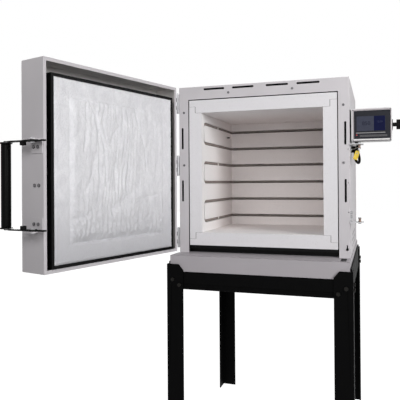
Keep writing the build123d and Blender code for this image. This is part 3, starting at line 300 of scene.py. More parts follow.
def loose_fibre(name, colour, shade, shaded_below=None):
    """Needled ceramic fibre: matted strands on a softly mottled tone, with painted shade low down.
    """
    fibre = finish(name, colour, 1.0, Sheen_Weight=0.25, Sheen_Roughness=0.6)
    mottled = remap(fibre, grain(fibre, 24, 8, 0.72, (1, 1, 0.6), 0.8), 0.40, 0.66, 0.0, 0.6)
    strand = remap(fibre, grain(fibre, 240, 5, 0.7, (1, 1, 0.5), 1.2), 0.38, 0.7, 0.0, 0.4)
    tone = mix_colour(fibre, mottled, colour, shade)
    # painted shade: darker towards the bottom, where less light falls
    if shaded_below is not None:
        low_shade = remap(fibre, one_axis(fibre, "Z"), *shaded_below, 1.0, 0.0)
        tone = mix_colour(fibre, low_shade, tone, dimmed(shade, 0.84))
    paint(fibre, mix_colour(fibre, strand, tone, shade))
    matted = relief(fibre, grain(fibre, 130, 7, 0.7, (1, 1, 0.6), 0.8), 0.0035, 0.9)
    relief(fibre, grain(fibre, 900, 4, 0.7, (1, 1, 0.3)), 0.0004, 0.8, matted)
    return fibre


def on(names, material):
    """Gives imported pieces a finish, and hands it on."""
    for name in names.split():
        for slot in frame["nodes"][name].material_slots:
            slot.material = material
    return material


stand_angles = ("leg_front_left leg_front_right leg_rear_left leg_rear_right cross_rails "
                "side_rails")
wall_boards = "top_board bottom_board left_board right_board"
on("case_shell front_frame rear_cover back_panel door_pan handle_brackets",
   powder_coat("case_grey_powder_coat", (0.565, 0.54, 0.56), 0.5))
# painted shade: the base takes a darker copy of the case's grey, for the light that falls off low
# down
on("base_pan", powder_coat("base_grey_powder_coat", (0.39, 0.365, 0.385), 0.5))
on(stand_angles, powder_coat("stand_black_powder_coat", (0.0012, 0.0012, 0.0013), 0.6, 0.00009,
                             IOR=1.12))
on("hearth_support controller_yoke door_frame handle_arms",
   powder_coat("black_satin_steel", (0.0022, 0.0022, 0.0024), 0.42, 0.00003, IOR=1.2))
on("handle_bar handle_bolts",
   powder_coat("black_painted_tube", (0.0014, 0.0014, 0.0015), 0.32, 0.00002, IOR=1.14))
on("stand_bolts",
   powder_coat("black_oxide_bolt", (0.012, 0.011, 0.010), 0.45, 0.00003, IOR=1.2))
on("thermocouple", powder_coat("oxidised_probe", (0.03, 0.026, 0.024), 0.6, 0.00002, IOR=1.3))
on("spool_upper spool_lower", plated("turned_brass", (0.21, 0.155, 0.13), 0.42, (1, 1, 6)))
on("heat_sink", plated("extruded_aluminium", (0.72, 0.72, 0.74), 0.33, (6, 0.2, 1)))
on(wall_boards + " back_board", fibre_board("fibre_board_fired", case_corner.y + 2.0 * MM))
on("door_core", fibre_board("fibre_board_raw"))
# painted shade: the packed fibre inside the case is near-black, so what shows through the slots
# and vents reads as shade
on("backup_wool", loose_fibre("packed_fibre", (0.045, 0.042, 0.038), (0.025, 0.023, 0.02)))
on("base_feet handle_bumpers",
   moulded("black_rubber", (0.006, 0.006, 0.006), 0.75, 0.00006, IOR=1.2))
on("relay_module door_switch tilt_knob controller_gland cable_glands",
   moulded("black_plastic", (0.003, 0.003, 0.0032), 0.45, IOR=1.2))
on("controller_housing", moulded("pale_enclosure", (0.70, 0.685, 0.69), 0.4))
on("power_button", moulded("red_plastic", (0.42, 0.03, 0.035), 0.3))
on("controller_screen",
   display_glass("dark_display_glass", (0.040, 0.044, 0.068), (0.033, 0.037, 0.058),
                 (0.050, 0.054, 0.080), 1.15))
zinc = on("base_floor hinge_leaves_case hinge_leaves_door hinge_pins keepers keeper_bolts "
          "handle_pivots", plated("zinc_plate", (0.40, 0.40, 0.41), 0.48, (1, 1, 0.2)))
dark_zinc = on("face_screws door_edge_bolts",
               plated("dark_zinc_plate", (0.15, 0.147, 0.153), 0.42))
oxide_wire = on("element_upper element_middle element_lower",
                plated("oxidised_wire", (0.34, 0.295, 0.275), 0.6, (4, 4, 4)))
ceramic = on("element_pins terminal_blocks",
             moulded("unglazed_ceramic", (0.78, 0.75, 0.70), 0.8, 0.00008))
panel_film = on("controller_panel",
                moulded("panel_film", (0.017, 0.0175, 0.023), 0.42, 0.00001, IOR=1.2))
yellow_plastic = on("thermocouple_plug",
                    moulded("yellow_plastic", (0.78, 0.56, 0.045), 0.42))
cable_jacket = on("controller_cable",
                  moulded("cable_jacket", (0.002, 0.002, 0.0022), 0.5, 0.00004, IOR=1.16))
lead_sleeve = on("thermocouple_lead",
                 moulded("lead_sleeve", (0.72, 0.68, 0.60), 0.7, 0.00012))
blanket_fibre = on("door_blanket",
                   loose_fibre("blanket_fibre", (0.86, 0.855, 0.88), (0.61, 0.605, 0.635),
                               (case_corner.z + 40.0 * MM, case_corner.z + 250.0 * MM)))
# painted light: lighter copies of the case's grey for the door pan's inside, and lighter still for
# its floor
pan_inside_light = powder_coat("door_pan_inside", (0.72, 0.695, 0.68), 0.6)
pan_floor = powder_coat("door_pan_floor", (0.93, 0.905, 0.885), 0.6)
# painted shade: near-black for the faces inside the case and the base
inner_shade = powder_coat("bare_inner_steel", (0.012, 0.0115, 0.012), 0.7, IOR=1.2)
seam_dark = powder_coat("seam_shadow", (0.10, 0.092, 0.09), 0.9, IOR=1.1)
bezel_grey = powder_coat("bezel_grey", (0.34, 0.31, 0.325), 0.5, 0.00001)
bezel_dark = powder_coat("bezel_shadow", (0.045, 0.042, 0.044), 0.5, 0.00001)
printed_grey = moulded("printed_grey", (0.27, 0.265, 0.275), 0.5, 0.00001)
printed_dim = moulded("printed_dim", (0.085, 0.082, 0.088), 0.5, 0.00001)


def shade_inside(name, material, low, high, place_of):
    """Gives the faces that look into a box, in millimetres of a place, their own finish, a tone
    painted for the light in that hollow.
    """
    piece = frame["nodes"][name]
    back = place_of.inverted()
    piece.data.materials.append(material)
    for face in piece.data.polygons:
        place = back @ (piece.matrix_world @ face.center + face.normal * 0.5 * MM)
        if all(a < c < b for a, c, b in zip(low, place, high)):
            face.material_index = len(piece.data.materials) - 1


# the hollow of the door's pan, and the depth at which its floor starts
pan_low = (2.0, -105.5, 4.3)
pan_high = (case_size.x, -5.0, case_size.z - 0.2)
pan_floor_depth = -102.0
# painted shade on the inward faces of the case, its face and the base
for name in ("case_shell", "front_frame"):
    shade_inside(name, inner_shade, (0, 0, 0), case_size, CASE)
shade_inside("base_pan", inner_shade, *box_mm("base_pan"), CASE)
# painted light on the door pan's inside and on its floor
shade_inside("door_pan", pan_inside_light, pan_low, pan_high, DOOR)
shade_inside("door_pan", pan_floor, pan_low, (pan_high[0], pan_floor_depth, pan_high[2]), DOOR)


def ease_edges(names, width, segments=2):
    """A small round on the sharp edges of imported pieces."""
    for name in names.split():
        piece = frame["nodes"][name]
        weld = piece.modifiers.new("weld", "WELD")
        weld.merge_threshold = 0.00001
        edge = piece.modifiers.new("edge", "BEVEL")
        edge.width = width
        edge.segments = segments
        edge.limit_method = "ANGLE"
        edge.angle_limit = math.radians(40)
        edge.use_clamp_overlap = True


# ---- Mesh helpers
def linked(name, data):
    """An object of a mesh, curve, light or camera, linked into the scene."""
    made = bpy.data.objects.new(name, data)
    bpy.context.scene.collection.objects.link(made)
    return made


def coated(name, mesh, material, smooth=True):
    """A finished object at the origin."""
    mesh.materials.clear()
    mesh.materials.append(material)
    for face in mesh.polygons:
        face.use_smooth = smooth
    return linked(name, mesh)


def piece_of(name, mesh, material, body, smooth=True):
    """A finished piece at the origin that rides on a body."""
    made = coated(name, mesh, material, smooth)
    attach(made, body)
    return made


def mesh_from(name, work):
    """A mesh from a bmesh, with its doubles merged and its faces outwards."""
    bmesh.ops.remove_doubles(work, verts=work.verts, dist=1e-7)
    bmesh.ops.recalc_face_normals(work, faces=work.faces)
    mesh = bpy.data.meshes.new(name)
    work.to_mesh(mesh)
    work.free()
    return mesh


def turned(profile, sides=24):
    """A turned shape: its outline's (radius, height) points, spun round Z."""
    work = bmesh.new()
    rings = []
    for radius, height in profile:
        count = sides if radius > 1e-9 else 1
        angles = [math.tau * n / count for n in range(count)]
        rings.append([work.verts.new((radius * math.cos(a), radius * math.sin(a), height))
                      for a in angles])
    for low, high in zip(rings, rings[1:]):
        for n in range(sides):
            corners = [ring[k % len(ring)] for ring, k in ((low, n), (low, n + 1), (high, n + 1),
                                                           (high, n))]
            corners = [c for i, c in enumerate(corners) if c not in corners[:i]]
            if len(corners) > 2:
                work.faces.new(corners)
    return work


def slab(work, x, y, z):
    """A box between limits, added to a bmesh."""
    made = bmesh.ops.create_cube(work, size=1)["verts"]
    size = Vector((x[1] - x[0], y[1] - y[0], z[1] - z[0]))
    centre = Vector((x[0] + x[1], y[0] + y[1], z[0] + z[1])) / 2
    for vert in made:
        vert.co = Vector(c * s for c, s in zip(vert.co, size)) + centre
    return made


def rounded(work, width, segments=2, sharp=30):
    """Rounds the edges of a bmesh that are sharper than an angle."""
    edges = [e for e in work.edges if len(e.link_faces) == 2
             and e.calc_face_angle(0) > math.radians(sharp)]
    bmesh.ops.bevel(work, geom=edges, offset=width, segments=segments, affect="EDGES",
                    profile=0.5)


def evaluated_mesh(made):
    """The mesh of an object after its modifiers, and the object removed."""
    bpy.context.view_layer.update()
    graph = bpy.context.evaluated_depsgraph_get()
    mesh = bpy.data.meshes.new_from_object(made.evaluated_get(graph), depsgraph=graph)
    bpy.data.objects.remove(made)
    return mesh


def form_tree(name, inputs, nodes, links):
    """A geometry tree from its inputs, its nodes by name, and its links with one to a line.
    What comes in at the node "whole" is made one mesh and takes the tree's finish."""
    tree = bpy.data.node_groups.new(name, "GeometryNodeTree")
    for way in ("INPUT", "OUTPUT"):
        tree.interface.new_socket(name="Geometry", in_out=way, socket_type="NodeSocketGeometry")
    for label, kind in (*inputs, ("Finish", "Material")):
        tree.interface.new_socket(name=label, in_out="INPUT", socket_type="NodeSocket" + kind)
    made = {}
    for label, kind, values in (*nodes, ("given", "NodeGroupInput", {}),
                                ("result", "NodeGroupOutput", {}),
                                ("whole", "GeometryNodeRealizeInstances", {}),
                                ("coat", "GeometryNodeSetMaterial", {})):
        node = made[label] = tree.nodes.new(kind)
        for key, value in values.items():
            if str(key).islower():
                setattr(node, key, value)
            else:
                node.inputs[key].default_value = value
    links += """
        whole.Geometry > coat.Geometry
        given.Finish > coat.Material
        coat.Geometry > result.Geometry"""
    for link in links.strip().splitlines():
        (source, out), (target, into) = (end.strip().split(".") for end in link.split(">"))
        out, into = (int(key) if key.isdigit() else key for key in (out, into))
        tree.links.new(made[source].outputs[out], made[target].inputs[into])
    return tree


def run_tree(made, tree, **values):
    """Runs a geometry tree on an object with its inputs set, and gives the plain mesh."""
    modifier = made.modifiers.new("form", "NODES")
    modifier.node_group = tree
    for item in tree.interface.items_tree:
        key = item.name.replace(" ", "_").lower()
        if item.item_type == "SOCKET" and item.in_out == "INPUT" and key in values:
            modifier[item.identifier] = values[key]
    return evaluated_mesh(made)


# ---- Fasteners: one tree sets a head on every seat, turned by a random angle round its axis
fasteners = form_tree(
    "fasteners", (("Head", "Object"),),
    (("head", "GeometryNodeObjectInfo", {}),
     ("outward", "GeometryNodeInputNamedAttribute", {"data_type": "FLOAT_VECTOR",
                                                     "Name": "outward"}),
     ("align", "FunctionNodeAlignRotationToVector", {"axis": "Z"}),
     ("spin", "FunctionNodeRandomValue", {"data_type": "FLOAT", 3: math.tau, "Seed": 7}),
     ("turn", "ShaderNodeCombineXYZ", {}),
     ("rotate", "FunctionNodeRotateRotation", {"rotation_space": "LOCAL"}),
     ("instance", "GeometryNodeInstanceOnPoints", {})), """
        given.Head > head.Object
        outward.Attribute > align.Vector
        spin.1 > turn.Z
        align.Rotation > rotate.Rotation
        turn.Vector > rotate.Rotate By
        given.Geometry > instance.Points
        head.Geometry > instance.Instance
        rotate.Rotation > instance.Rotation
        instance.Instances > whole.Geometry""")


def fastened(name, seats, head, material, body):
    """Heads on seats. A seat is a place in metres and the way its head faces."""
    mesh = bpy.data.meshes.new(name + "_seats")
    mesh.from_pydata([seat for seat, outward in seats], [], [])
    facing = mesh.attributes.new("outward", "FLOAT_VECTOR", "POINT")
    facing.data.foreach_set("vector", [c for seat, outward in seats for c in outward])
    points = linked(name + "_seats", mesh)
    made = run_tree(points, fasteners, head=head, finish=material)
    return piece_of(name, made, material, body, smooth=False)


def cut_recess(made, cutter):
    """A head with its driver's recess cut by another object."""
    cut = made.modifiers.new("recess", "BOOLEAN")
    cut.object = cutter
    cut.solver = "EXACT"
    cut.use_self = True
    name = made.name
    mesh = evaluated_mesh(made)
    bpy.data.objects.remove(cutter)
    return linked(name, mesh)


def pan_head(name, radius, height):
    """A pan-head screw with a cross recess, its seat at the origin, facing +Z."""
    # shares of the radius and of the height, from under the seat to the crown
    shares = ((0, -0.4), (1, -0.4), (1, 0.5), (0.93, 0.76), (0.74, 0.93), (0.4, 1), (0, 1))
    head = linked(name, mesh_from(name, turned([(radius * r, height * h) for r, h in shares], 20)))
    cross = bmesh.new()
    arm, thick = radius * 0.6, radius * 0.13
    slab(cross, (-arm, arm), (-thick, thick), (height * 0.35, height * 1.5))
    slab(cross, (-thick, thick), (-arm, arm), (height * 0.3, height * 1.6))
    return cut_recess(head, linked(name + "_cross", mesh_from(name + "_cross", cross)))


small_pan = pan_head("small_pan_head", 3.2 * MM, 2.0 * MM)
face_pan = pan_head("face_pan_head", 4.5 * MM, 2.6 * MM)

# ---- Face screws, cover screws and hinge screws
screw_inset = 20.0
screw_rises = (221.0, 17.0)
top_screw_drop = 29.0
top_screw_place = 120.0
face_seats = [(x, middle_z + rise) for x in (screw_inset, case_size.x - screw_inset)
              for rise in screw_rises]
face_seats += [(middle_x + way * top_screw_place, case_size.z - top_screw_drop) for way in (-1, 1)]
screws = fastened("face_pan_screws", [(on_case(x, 0, z), (0, -1, 0)) for x, z in face_seats],
                  face_pan, dark_zinc, "case")
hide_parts("face_screws")

slot_half = (41.0, 2.5)
slot_margin = 0.3
slot_spread = 1.45
top_slot_places = (-177, -64, 64, 177)
top_slot_drop = 11.5
side_slot_rises = (121, -82)
side_slot_inset = 14
top_slots = [(middle_x + place, case_size.z - top_slot_drop) for place in top_slot_places]
side_slots = [(x, middle_z + rise) for x in (side_slot_inset, case_size.x - side_slot_inset)
              for rise in side_slot_rises]
front_sheet = frame["nodes"]["front_frame"]
face_mesh = front_sheet.data.copy()
work = bmesh.new()
work.from_mesh(face_mesh)
bmesh.ops.remove_doubles(work, verts=work.verts, dist=1e-6)
work.to_mesh(face_mesh)
work.free()
for vert in face_mesh.vertices:
    place = CASE.inverted() @ (front_sheet.matrix_world @ vert.co)
    for slots, run, across in ((top_slots, 0, 2), (side_slots, 2, 0)):
        for x, z in slots:
            centre = Vector((x, 0, z))
            off = place - centre
            if (abs(off[run]) < slot_half[0] + slot_margin
                    and abs(off[across]) < slot_half[1] + slot_margin):
                off[across] *= slot_spread
                place = centre + off
    vert.co = CASE @ place
slotted = linked("slotted_front_face", face_mesh)
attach(slotted, "case")
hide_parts("front_frame")

cover_low, cover_high = box_mm("rear_cover")
cover_edge = 7.0
cover_sheet = 1.5
cover_run = [high - low - 2 * cover_edge for low, high in zip(cover_low, cover_high)]
cover_shares = ((0, 0), (0, 1), (0.5, 0), (0.5, 1), (0, 0.5), (1, 0.5), (1, 0), (1, 1))
cover_seats = [(cover_low.x + cover_edge + across * cover_run[0],
                cover_low.z + cover_edge + up * cover_run[2]) for across, up in cover_shares]
back_inset = 16.0
back_seats = [(x, z) for x in (back_inset, middle_x, case_size.x - back_inset)
              for z in (back_inset, middle_z, case_size.z - back_inset)
              if (x, z) != (middle_x, middle_z)]
seats = [(on_case(x, cover_low.y + cover_sheet, z), (0, 1, 0)) for x, z in cover_seats]
seats += [(on_case(x, case_size.y, z), (0, 1, 0)) for x, z in back_seats]
fastened("rear_pan_screws", seats, small_pan, zinc, "case")

hinge_top_drop = 62.0
hinge_middle_rise = 15.0
hinge_bottom_lift = 56.0
leaf_thick = 2.5
hinge_levels = (case_size.z - hinge_top_drop, middle_z + hinge_middle_rise, hinge_bottom_lift)
leaf_screw_spread = 25.0
leaf_screw_y = 24.0
door_leaf_screw_y = -28.0
leaf_rows = [level + way * leaf_screw_spread for level in hinge_levels for way in (-1, 0, 1)]
case_leaf_seats = [(on_case(-leaf_thick, leaf_screw_y, z), (-1, 0, 0)) for z in leaf_rows]
fastened("case_hinge_screws", case_leaf_seats, small_pan, zinc, "case")
door_left = 2.0
door_outward = about(Vector(), door_turn) @ Vector((-1, 0, 0))
door_leaf_seats = [(on_door(door_left - leaf_thick, door_leaf_screw_y, z), door_outward)
                   for z in leaf_rows]
fastened("door_hinge_screws", door_leaf_seats, small_pan, zinc, "door")

# ---- Heating elements: wire wound round each loop
rod_radius = 5.2
wire_radius = 0.9
coil_pitch = 3.6
turn_points = 10
corner_bend = 11.0
groove_bend = 21.0
tail_bend = 9.0
loop_bends = [tail_bend, corner_bend, groove_bend, groove_bend, corner_bend,
              corner_bend, groove_bend, groove_bend, tail_bend, tail_bend]
loop_back = 7.0
tail_inset = 32.5
tail_gap = 20.0

# a wire wound round the curve that the tree is given
coiling = form_tree(
    "wound_element", (("Coil Radius", "Float"), ("Wire Radius", "Float"), ("Pitch", "Float"),
                      ("Step", "Float")),
    (("even", "GeometryNodeResampleCurve", {"mode": "LENGTH"}),
     ("along", "GeometryNodeSplineParameter", {}),
     ("normal", "GeometryNodeInputNormal", {}),
     ("tangent", "GeometryNodeInputTangent", {}),
     ("turns", "ShaderNodeMath", {"operation": "DIVIDE"}),
     ("angle", "ShaderNodeMath", {"operation": "MULTIPLY", 1: math.tau}),
     ("swing", "ShaderNodeVectorRotate", {"rotation_type": "AXIS_ANGLE"}),
     ("reach", "ShaderNodeVectorMath", {"operation": "SCALE"}),
     ("move", "GeometryNodeSetPosition", {}),
     ("round", "GeometryNodeCurvePrimitiveCircle", {"Resolution": 6}),
     ("solid", "GeometryNodeCurveToMesh", {"Fill Caps": True})), """
        given.Geometry > even.Curve
        given.Step > even.Length
        along.Length > turns.0
        given.Pitch > turns.1
        turns.Value > angle.0
        normal.Normal > swing.Vector
        tangent.Tangent > swing.Axis
        angle.Value > swing.Angle
        swing.Vector > reach.0
        given.Coil Radius > reach.Scale
        even.Curve > move.Geometry
        reach.Vector > move.Offset
        given.Wire Radius > round.Radius
        move.Geometry > solid.Curve
        round.Curve > solid.Profile Curve
        solid.Mesh > whole.Geometry""")


def line_curve(name, kind, points):
    """A curve of one line by points in metres."""
    data = bpy.data.curves.new(name, "CURVE")
    data.dimensions = "3D"
    spline = data.splines.new(kind)
    spline.points.add(len(points) - 1)
    for point, place in zip(spline.points, points):
        point.co = (*place, 1)
    return linked(name, data)


def bent_line(corners, bends, steps=10):
    """The points of a line of square corners, each rounded by its own bend."""
    line = [corners[0]]
    for before, corner, after, bend in zip(corners, corners[1:], corners[2:], bends):
        back, ahead = (before - corner).normalized(), (after - corner).normalized()
        centre = corner + (back + ahead) * bend
        for step in range(steps + 1):
            angle = math.pi / 2 * step / steps
            line.append(centre - (ahead * math.cos(angle) + back * math.sin(angle)) * bend)
    return line + [corners[-1]]


back_low, back_high = box_mm("back_board")
for name in ("element_upper", "element_middle", "element_lower"):
    low, high = box_mm(name)
    left, right = low.x + rod_radius, high.x - rod_radius
    near, far = low.y + rod_radius, back_low.y + loop_back
    lower, upper = low.z + rod_radius, high.z - rod_radius
    tails = (back_high.x - tail_inset, back_high.x - tail_inset + tail_gap)
    loop = [(tails[0], high.y, lower), (tails[0], far, lower), (left, far, lower),
            (left, near, lower), (left, near, upper), (left, far, upper), (right, far, upper),
            (right, near, upper), (right, near, lower), (right, far, lower),
            (tails[1], far, lower), (tails[1], high.y, lower)]
    line = bent_line([Vector(point) for point in loop], loop_bends)
    path = line_curve(name + "_path", "POLY", [on_case(*point) for point in line])
    wound = run_tree(path, coiling, coil_radius=(rod_radius - wire_radius) * MM,
                     wire_radius=wire_radius * MM, pitch=coil_pitch * MM,
                     step=coil_pitch / turn_points * MM, finish=oxide_wire)
    coil = piece_of(name + "_coil", wound, oxide_wire, "case")
    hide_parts(name)

# ---- Door blanket: needled fibre, pressed to the chamber's mouth and wrinkled
blanket_x = (40.5, 601.5)
blanket_z = (26.3, 584.5)
blanket_back = -25.5
blanket_front = -0.5
pressed_x = (96.5, 541.5)
pressed_z = (83.3, 530.8)
press_rise = 6.0
blanket_steps = 240
crease_depth = 2.4
board_gap = -0.4
mouth_gap = 1.2
roll_depth = 11.5
ripple_period = 15
pucker_period = 23
relief_share = 1.45
# folds: depth, half width, and the line they follow across and up the closed door
folds = (
    (1.8, 5.6, ((478, 521), (476, 436), (489, 372))),
    (2.6, 4.8, ((461, 526), (439, 480), (426, 440), (422, 362), (419, 272), (428, 220))),
    (2.2, 4, ((443, 512), (421, 446), (401, 396), (393, 330), (393, 258))),
    (1.5, 4, ((419, 521), (402, 461), (393, 422))),
    (2.1, 6.4, ((334, 453), (360, 424), (373, 397))),
    (1.6, 3.6, ((348, 522), (336, 466))),
    (1.8, 3.6, ((320, 521), (305, 469))),
    (1.8, 3.6, ((294, 517), (284, 463))),
    (2.2, 4, ((250, 532), (226, 454), (197, 392), (193, 313))),
    (1.4, 4, ((271, 509), (255, 466))),
    (1.8, 4, ((351, 331), (351, 245))),
    (2.1, 4, ((330, 325), (332, 224))),
    (2.1, 4, ((311, 325), (311, 217))),
    (1.8, 4, ((288, 333), (292, 243))),
    (2.1, 16.2, ((185, 270), (255, 243), (301, 216), (356, 185))),
    (1.7, 14.9, ((365, 185), (428, 214), (478, 174), (548, 151))),
    (2.0, 6.4, ((447, 361), (452, 297), (482, 247))),
    (1.5, 5.6, ((123, 226), (191, 220), (245, 204))),
    (1.4, 4, ((595, 285), (584, 225))),
    (1.3, 4.8, ((140, 540), (123, 439))),
    (1.3, 4.8, ((87, 538), (90, 299))),
)
# swells: rise, half width across and up, and middle across and up
swells = ((2.6, 34, 46, 266, 319), (2.4, 26, 34, 255, 222), (2.4, 34, 38, 301, 428),
          (1.6, 22, 120, 524, 371), (2.0, 60, 22, 326, 165), (1.4, 30, 60, 375, 298))


def eased(low, high, value):
    """A smooth step from 0 to 1 between two limits."""
    share = np.clip((value - low) / (high - low), 0, 1)
    return share * share * (3 - 2 * share)


def bell(value, width):
    """A smooth bump of height 1 round zero."""
    return np.exp(-((value / width) ** 2))


def rippled(x, z, scale_x, scale_z, seed):
    """Smooth noise between -1 and 1 with its own scale across and up, in millimetres."""
    values = [noise.noise(Vector((a / scale_x, b / scale_z, seed)))
              for a, b in zip(x.ravel(), z.ravel())]
    return np.array(values).reshape(x.shape)


def distance_to(x, z, line):
    """How far each place lies from a line through points."""
    nearest = np.full(x.shape, np.inf)
    for (ax, az), (bx, bz) in zip(line, line[1:]):
        run = (bx - ax) ** 2 + (bz - az) ** 2
        share = np.clip(((x - ax) * (bx - ax) + (z - az) * (bz - az)) / run, 0, 1)
        off = np.hypot(x - ax - share * (bx - ax), z - az - share * (bz - az))
        nearest = np.minimum(nearest, off)
    return nearest


def blanket_heights(x, z):
    """How far the blanket stands in front of the door's inner plane at each place."""
    # the pressed panel, its wandering rim and the groove round it
    wander = 2.2 * rippled(x, z, 30, 30, 3.1) + 1.2 * rippled(x, z, 11, 11, 8.3)
    within = wander + np.minimum.reduce([x - pressed_x[0], pressed_x[1] - x, pressed_z[1] - z,
                                         z - pressed_z[0]])
    below = z - pressed_z[0] + wander
    inside = eased(-4, 9, within)
    height = blanket_front + press_rise * (0.3 + 0.5 * inside) - 1.4
    height -= 1.3 * bell(within + 3.0, 3.2)
    # the deep crease along the bottom with the roll over it, and a light one along the top
    across = eased(-20, 30, x - pressed_x[0]) * eased(-20, 30, pressed_x[1] - x)
    heavy = 0.35 + 0.65 * eased(90, 260, x) + 0.35 * rippled(x, z, 70, 200, 18.0)
    height -= crease_depth * bell(below + 1.0, 3.6) * across
    height -= roll_depth * heavy * bell(np.maximum(below, 0), 17) * eased(-3, 4, below) * across
    height -= 1.5 * bell(z - pressed_z[1] + wander, 2.6) * across
    # the ridge along the free side
    free_side = pressed_x[1] - x
    height += 2.5 * eased(-3, 13, free_side) * bell(np.maximum(free_side, 0), 95) * inside
    # folds and swells
    wobble_x = x + 5 * rippled(x, z, 60, 60, 70.0)
    wobble_z = z + 5 * rippled(x, z, 60, 60, 75.0)
    relief = 0
    for depth, half_width, line in folds:
        relief -= depth * bell(distance_to(wobble_x, wobble_z, line), half_width)
    for rise, half_x, half_z, at_x, at_z in swells:
        relief += rise * np.exp(-(((x - at_x) / half_x) ** 2) - ((z - at_z) / half_z) ** 2)
    # upright rows of ripples in the middle, puckers low down, and uneven matting
    low_down = eased(210, 110, z)
    middle = bell(x - 350, 130) * eased(560, 500, z) * eased(120, 220, z)
    row_x = x + 12 * rippled(x, z, 60, 180, 90.0) + 0.12 * z
    row_height = 0.8 + 0.9 * rippled(x, z, 50, 120, 92.0)
    relief += 0.6 * middle * np.sin(row_x * math.tau / ripple_period) * row_height
    pucker_x = x + 16 * rippled(x, z, 50, 70, 80.0)
    pucker_height = 0.5 + 1.5 * rippled(x, z, 34, 40, 85.0)
    relief += low_down * 1.3 * np.sin(pucker_x * math.tau / pucker_period) * pucker_height
    relief += 1.3 * rippled(x, z, 16, 110, 1.7) + 1.8 * rippled(x, z, 60, 60, 12.4)
    relief += (0.6 + 1.5 * low_down) * rippled(x, z, 15, 22, 31.0)
    relief += (0.4 + 0.8 * low_down) * rippled(x, z, 8, 11, 36.0)
    height += relief * (0.28 + 0.72 * inside) * relief_share
    height += 0.45 * rippled(x, z, 6, 9, 40.0) + 0.3 * rippled(x, z, 3.2, 4.5, 44.0)
    # the thin outer rim, and room for the boards where the closed door presses on them
    from_edge = np.minimum.reduce([x - blanket_x[0], blanket_x[1] - x, z - blanket_z[0],
                                   blanket_z[1] - z])
    height -= 3.6 * (1 - eased(0, 7, from_edge + 1.6 * rippled(x, z, 7, 7, 50.0)))
    clear = np.minimum.reduce([x - back_low.x, back_high.x - x, z - back_low.z, back_high.z - z])
    return np.minimum(height, board_gap + 2.0 * np.maximum(clear - mouth_gap, 0))


def door_blanket():
    """The blanket's mesh: its front with a ragged rim, its sides and its flat back."""
    work = bmesh.new()
    steps = blanket_steps
    across = np.linspace(*blanket_x, steps + 1)
    upward = np.linspace(*blanket_z, steps + 1)
    x_grid, z_grid = np.meshgrid(across, upward)
    heights = blanket_heights(x_grid, z_grid)
    ragged = 0.6 + 2.4 * rippled(x_grid, z_grid, 7, 7, 60.0)
    front = []
    for row in range(steps + 1):
        line = []
        for column in range(steps + 1):
            x, z, spread = x_grid[row, column], z_grid[row, column], ragged[row, column]
            x += spread * (-1 if column == 0 else 1 if column == steps else 0)
            z += spread * (-1 if row == 0 else 1 if row == steps else 0)
            line.append(work.verts.new(on_door(x, heights[row, column], z)))
        front.append(line)
    for low, high in zip(front, front[1:]):
        for n in range(steps):
            work.faces.new((low[n], low[n + 1], high[n + 1], high[n]))
    rim = front[0][:] + [line[-1] for line in front[1:]]
    rim += front[-1][-2::-1] + [line[0] for line in front[-2:0:-1]]
    closed = DOOR.inverted()
    back = []
    for vert in rim:
        place = closed @ vert.co
        x = min(max(place.x, blanket_x[0]), blanket_x[1])
        z = min(max(place.z, blanket_z[0]), blanket_z[1])
        back.append(work.verts.new(on_door(x, blanket_back, z)))
    for n in range(len(rim)):
        m = (n + 1) % len(rim)
        work.faces.new((rim[n], back[n], back[m], rim[m]))
    work.faces.new(back)
    return mesh_from("door_blanket_quilt", work)


blanket = piece_of("door_blanket_quilt", door_blanket(), blanket_fibre, "door")
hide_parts("door_blanket")

# ---- Controller: corner screws, display and printed bars
housing_low, housing_high = box_mm("controller_housing")
panel_low, panel_high = box_mm("controller_panel")
screen_low, screen_high = box_mm("controller_screen")
corner_inset = 5.2
bezel_pan = pan_head("bezel_pan_head", 2.3 * MM, 1.1 * MM)
bezel_seats = [(on_case(x, housing_low.y, z), (0, -1, 0))
               for x in (housing_low.x + corner_inset, housing_high.x - corner_inset)
               for z in (housing_low.z + corner_inset, housing_high.z - corner_inset)]
fastened("bezel_screws", bezel_seats, bezel_pan, dark_zinc, "controller")


def plates(name, spans, y, material, body, edge=0.0):
    """Thin plates on a face, in case millimetres. A span has its limits across and up."""
    work = bmesh.new()
    for x, z in spans:
        slab(work, x, y, z)
    if edge:
        rounded(work, edge, 2)
    work.transform(CASE)
    return piece_of(name, mesh_from(name, work), material, body, smooth=False)


status_tone = display_glass("status_field_glass", (0.002, 0.004, 0.034), (0.0015, 0.003, 0.026),
                            (0.003, 0.006, 0.042), 1.12)
print_edge = 0.15
glass_edge = 0.08
display_y = (screen_low.y - 0.25, screen_low.y + 0.1)
screen_run = screen_high.x - screen_low.x
split_x = screen_low.x + 0.62 * screen_run
number_x = screen_low.x + 0.36 * screen_run
line_x = (screen_low.x + 0.14 * screen_run, screen_low.x + 1.06 * screen_run)
field_low = screen_low.z + 3.0
field_high = screen_high.z - 4.2
plates("status_field", [((split_x, screen_high.x - 0.6), (field_low, field_high))], display_y,
       status_tone, "controller", glass_edge)


def shown_number(name, text, tall, x, z, material):
    """A plain number on the display, centred on a place of the case."""
    data = bpy.data.curves.new(name + "_type", "FONT")
    data.body = text
    data.size = tall
    data.align_x, data.align_y = "CENTER", "CENTER"
    data.extrude = 0.05
    mesh = evaluated_mesh(linked(name + "_type", data))
    mesh.transform(CASE @ Matrix.Translation((x, display_y[0] - 0.06, z))
                   @ Matrix.Rotation(math.pi / 2, 4, "X"))
    return piece_of(name, mesh, material, "controller", smooth=False)


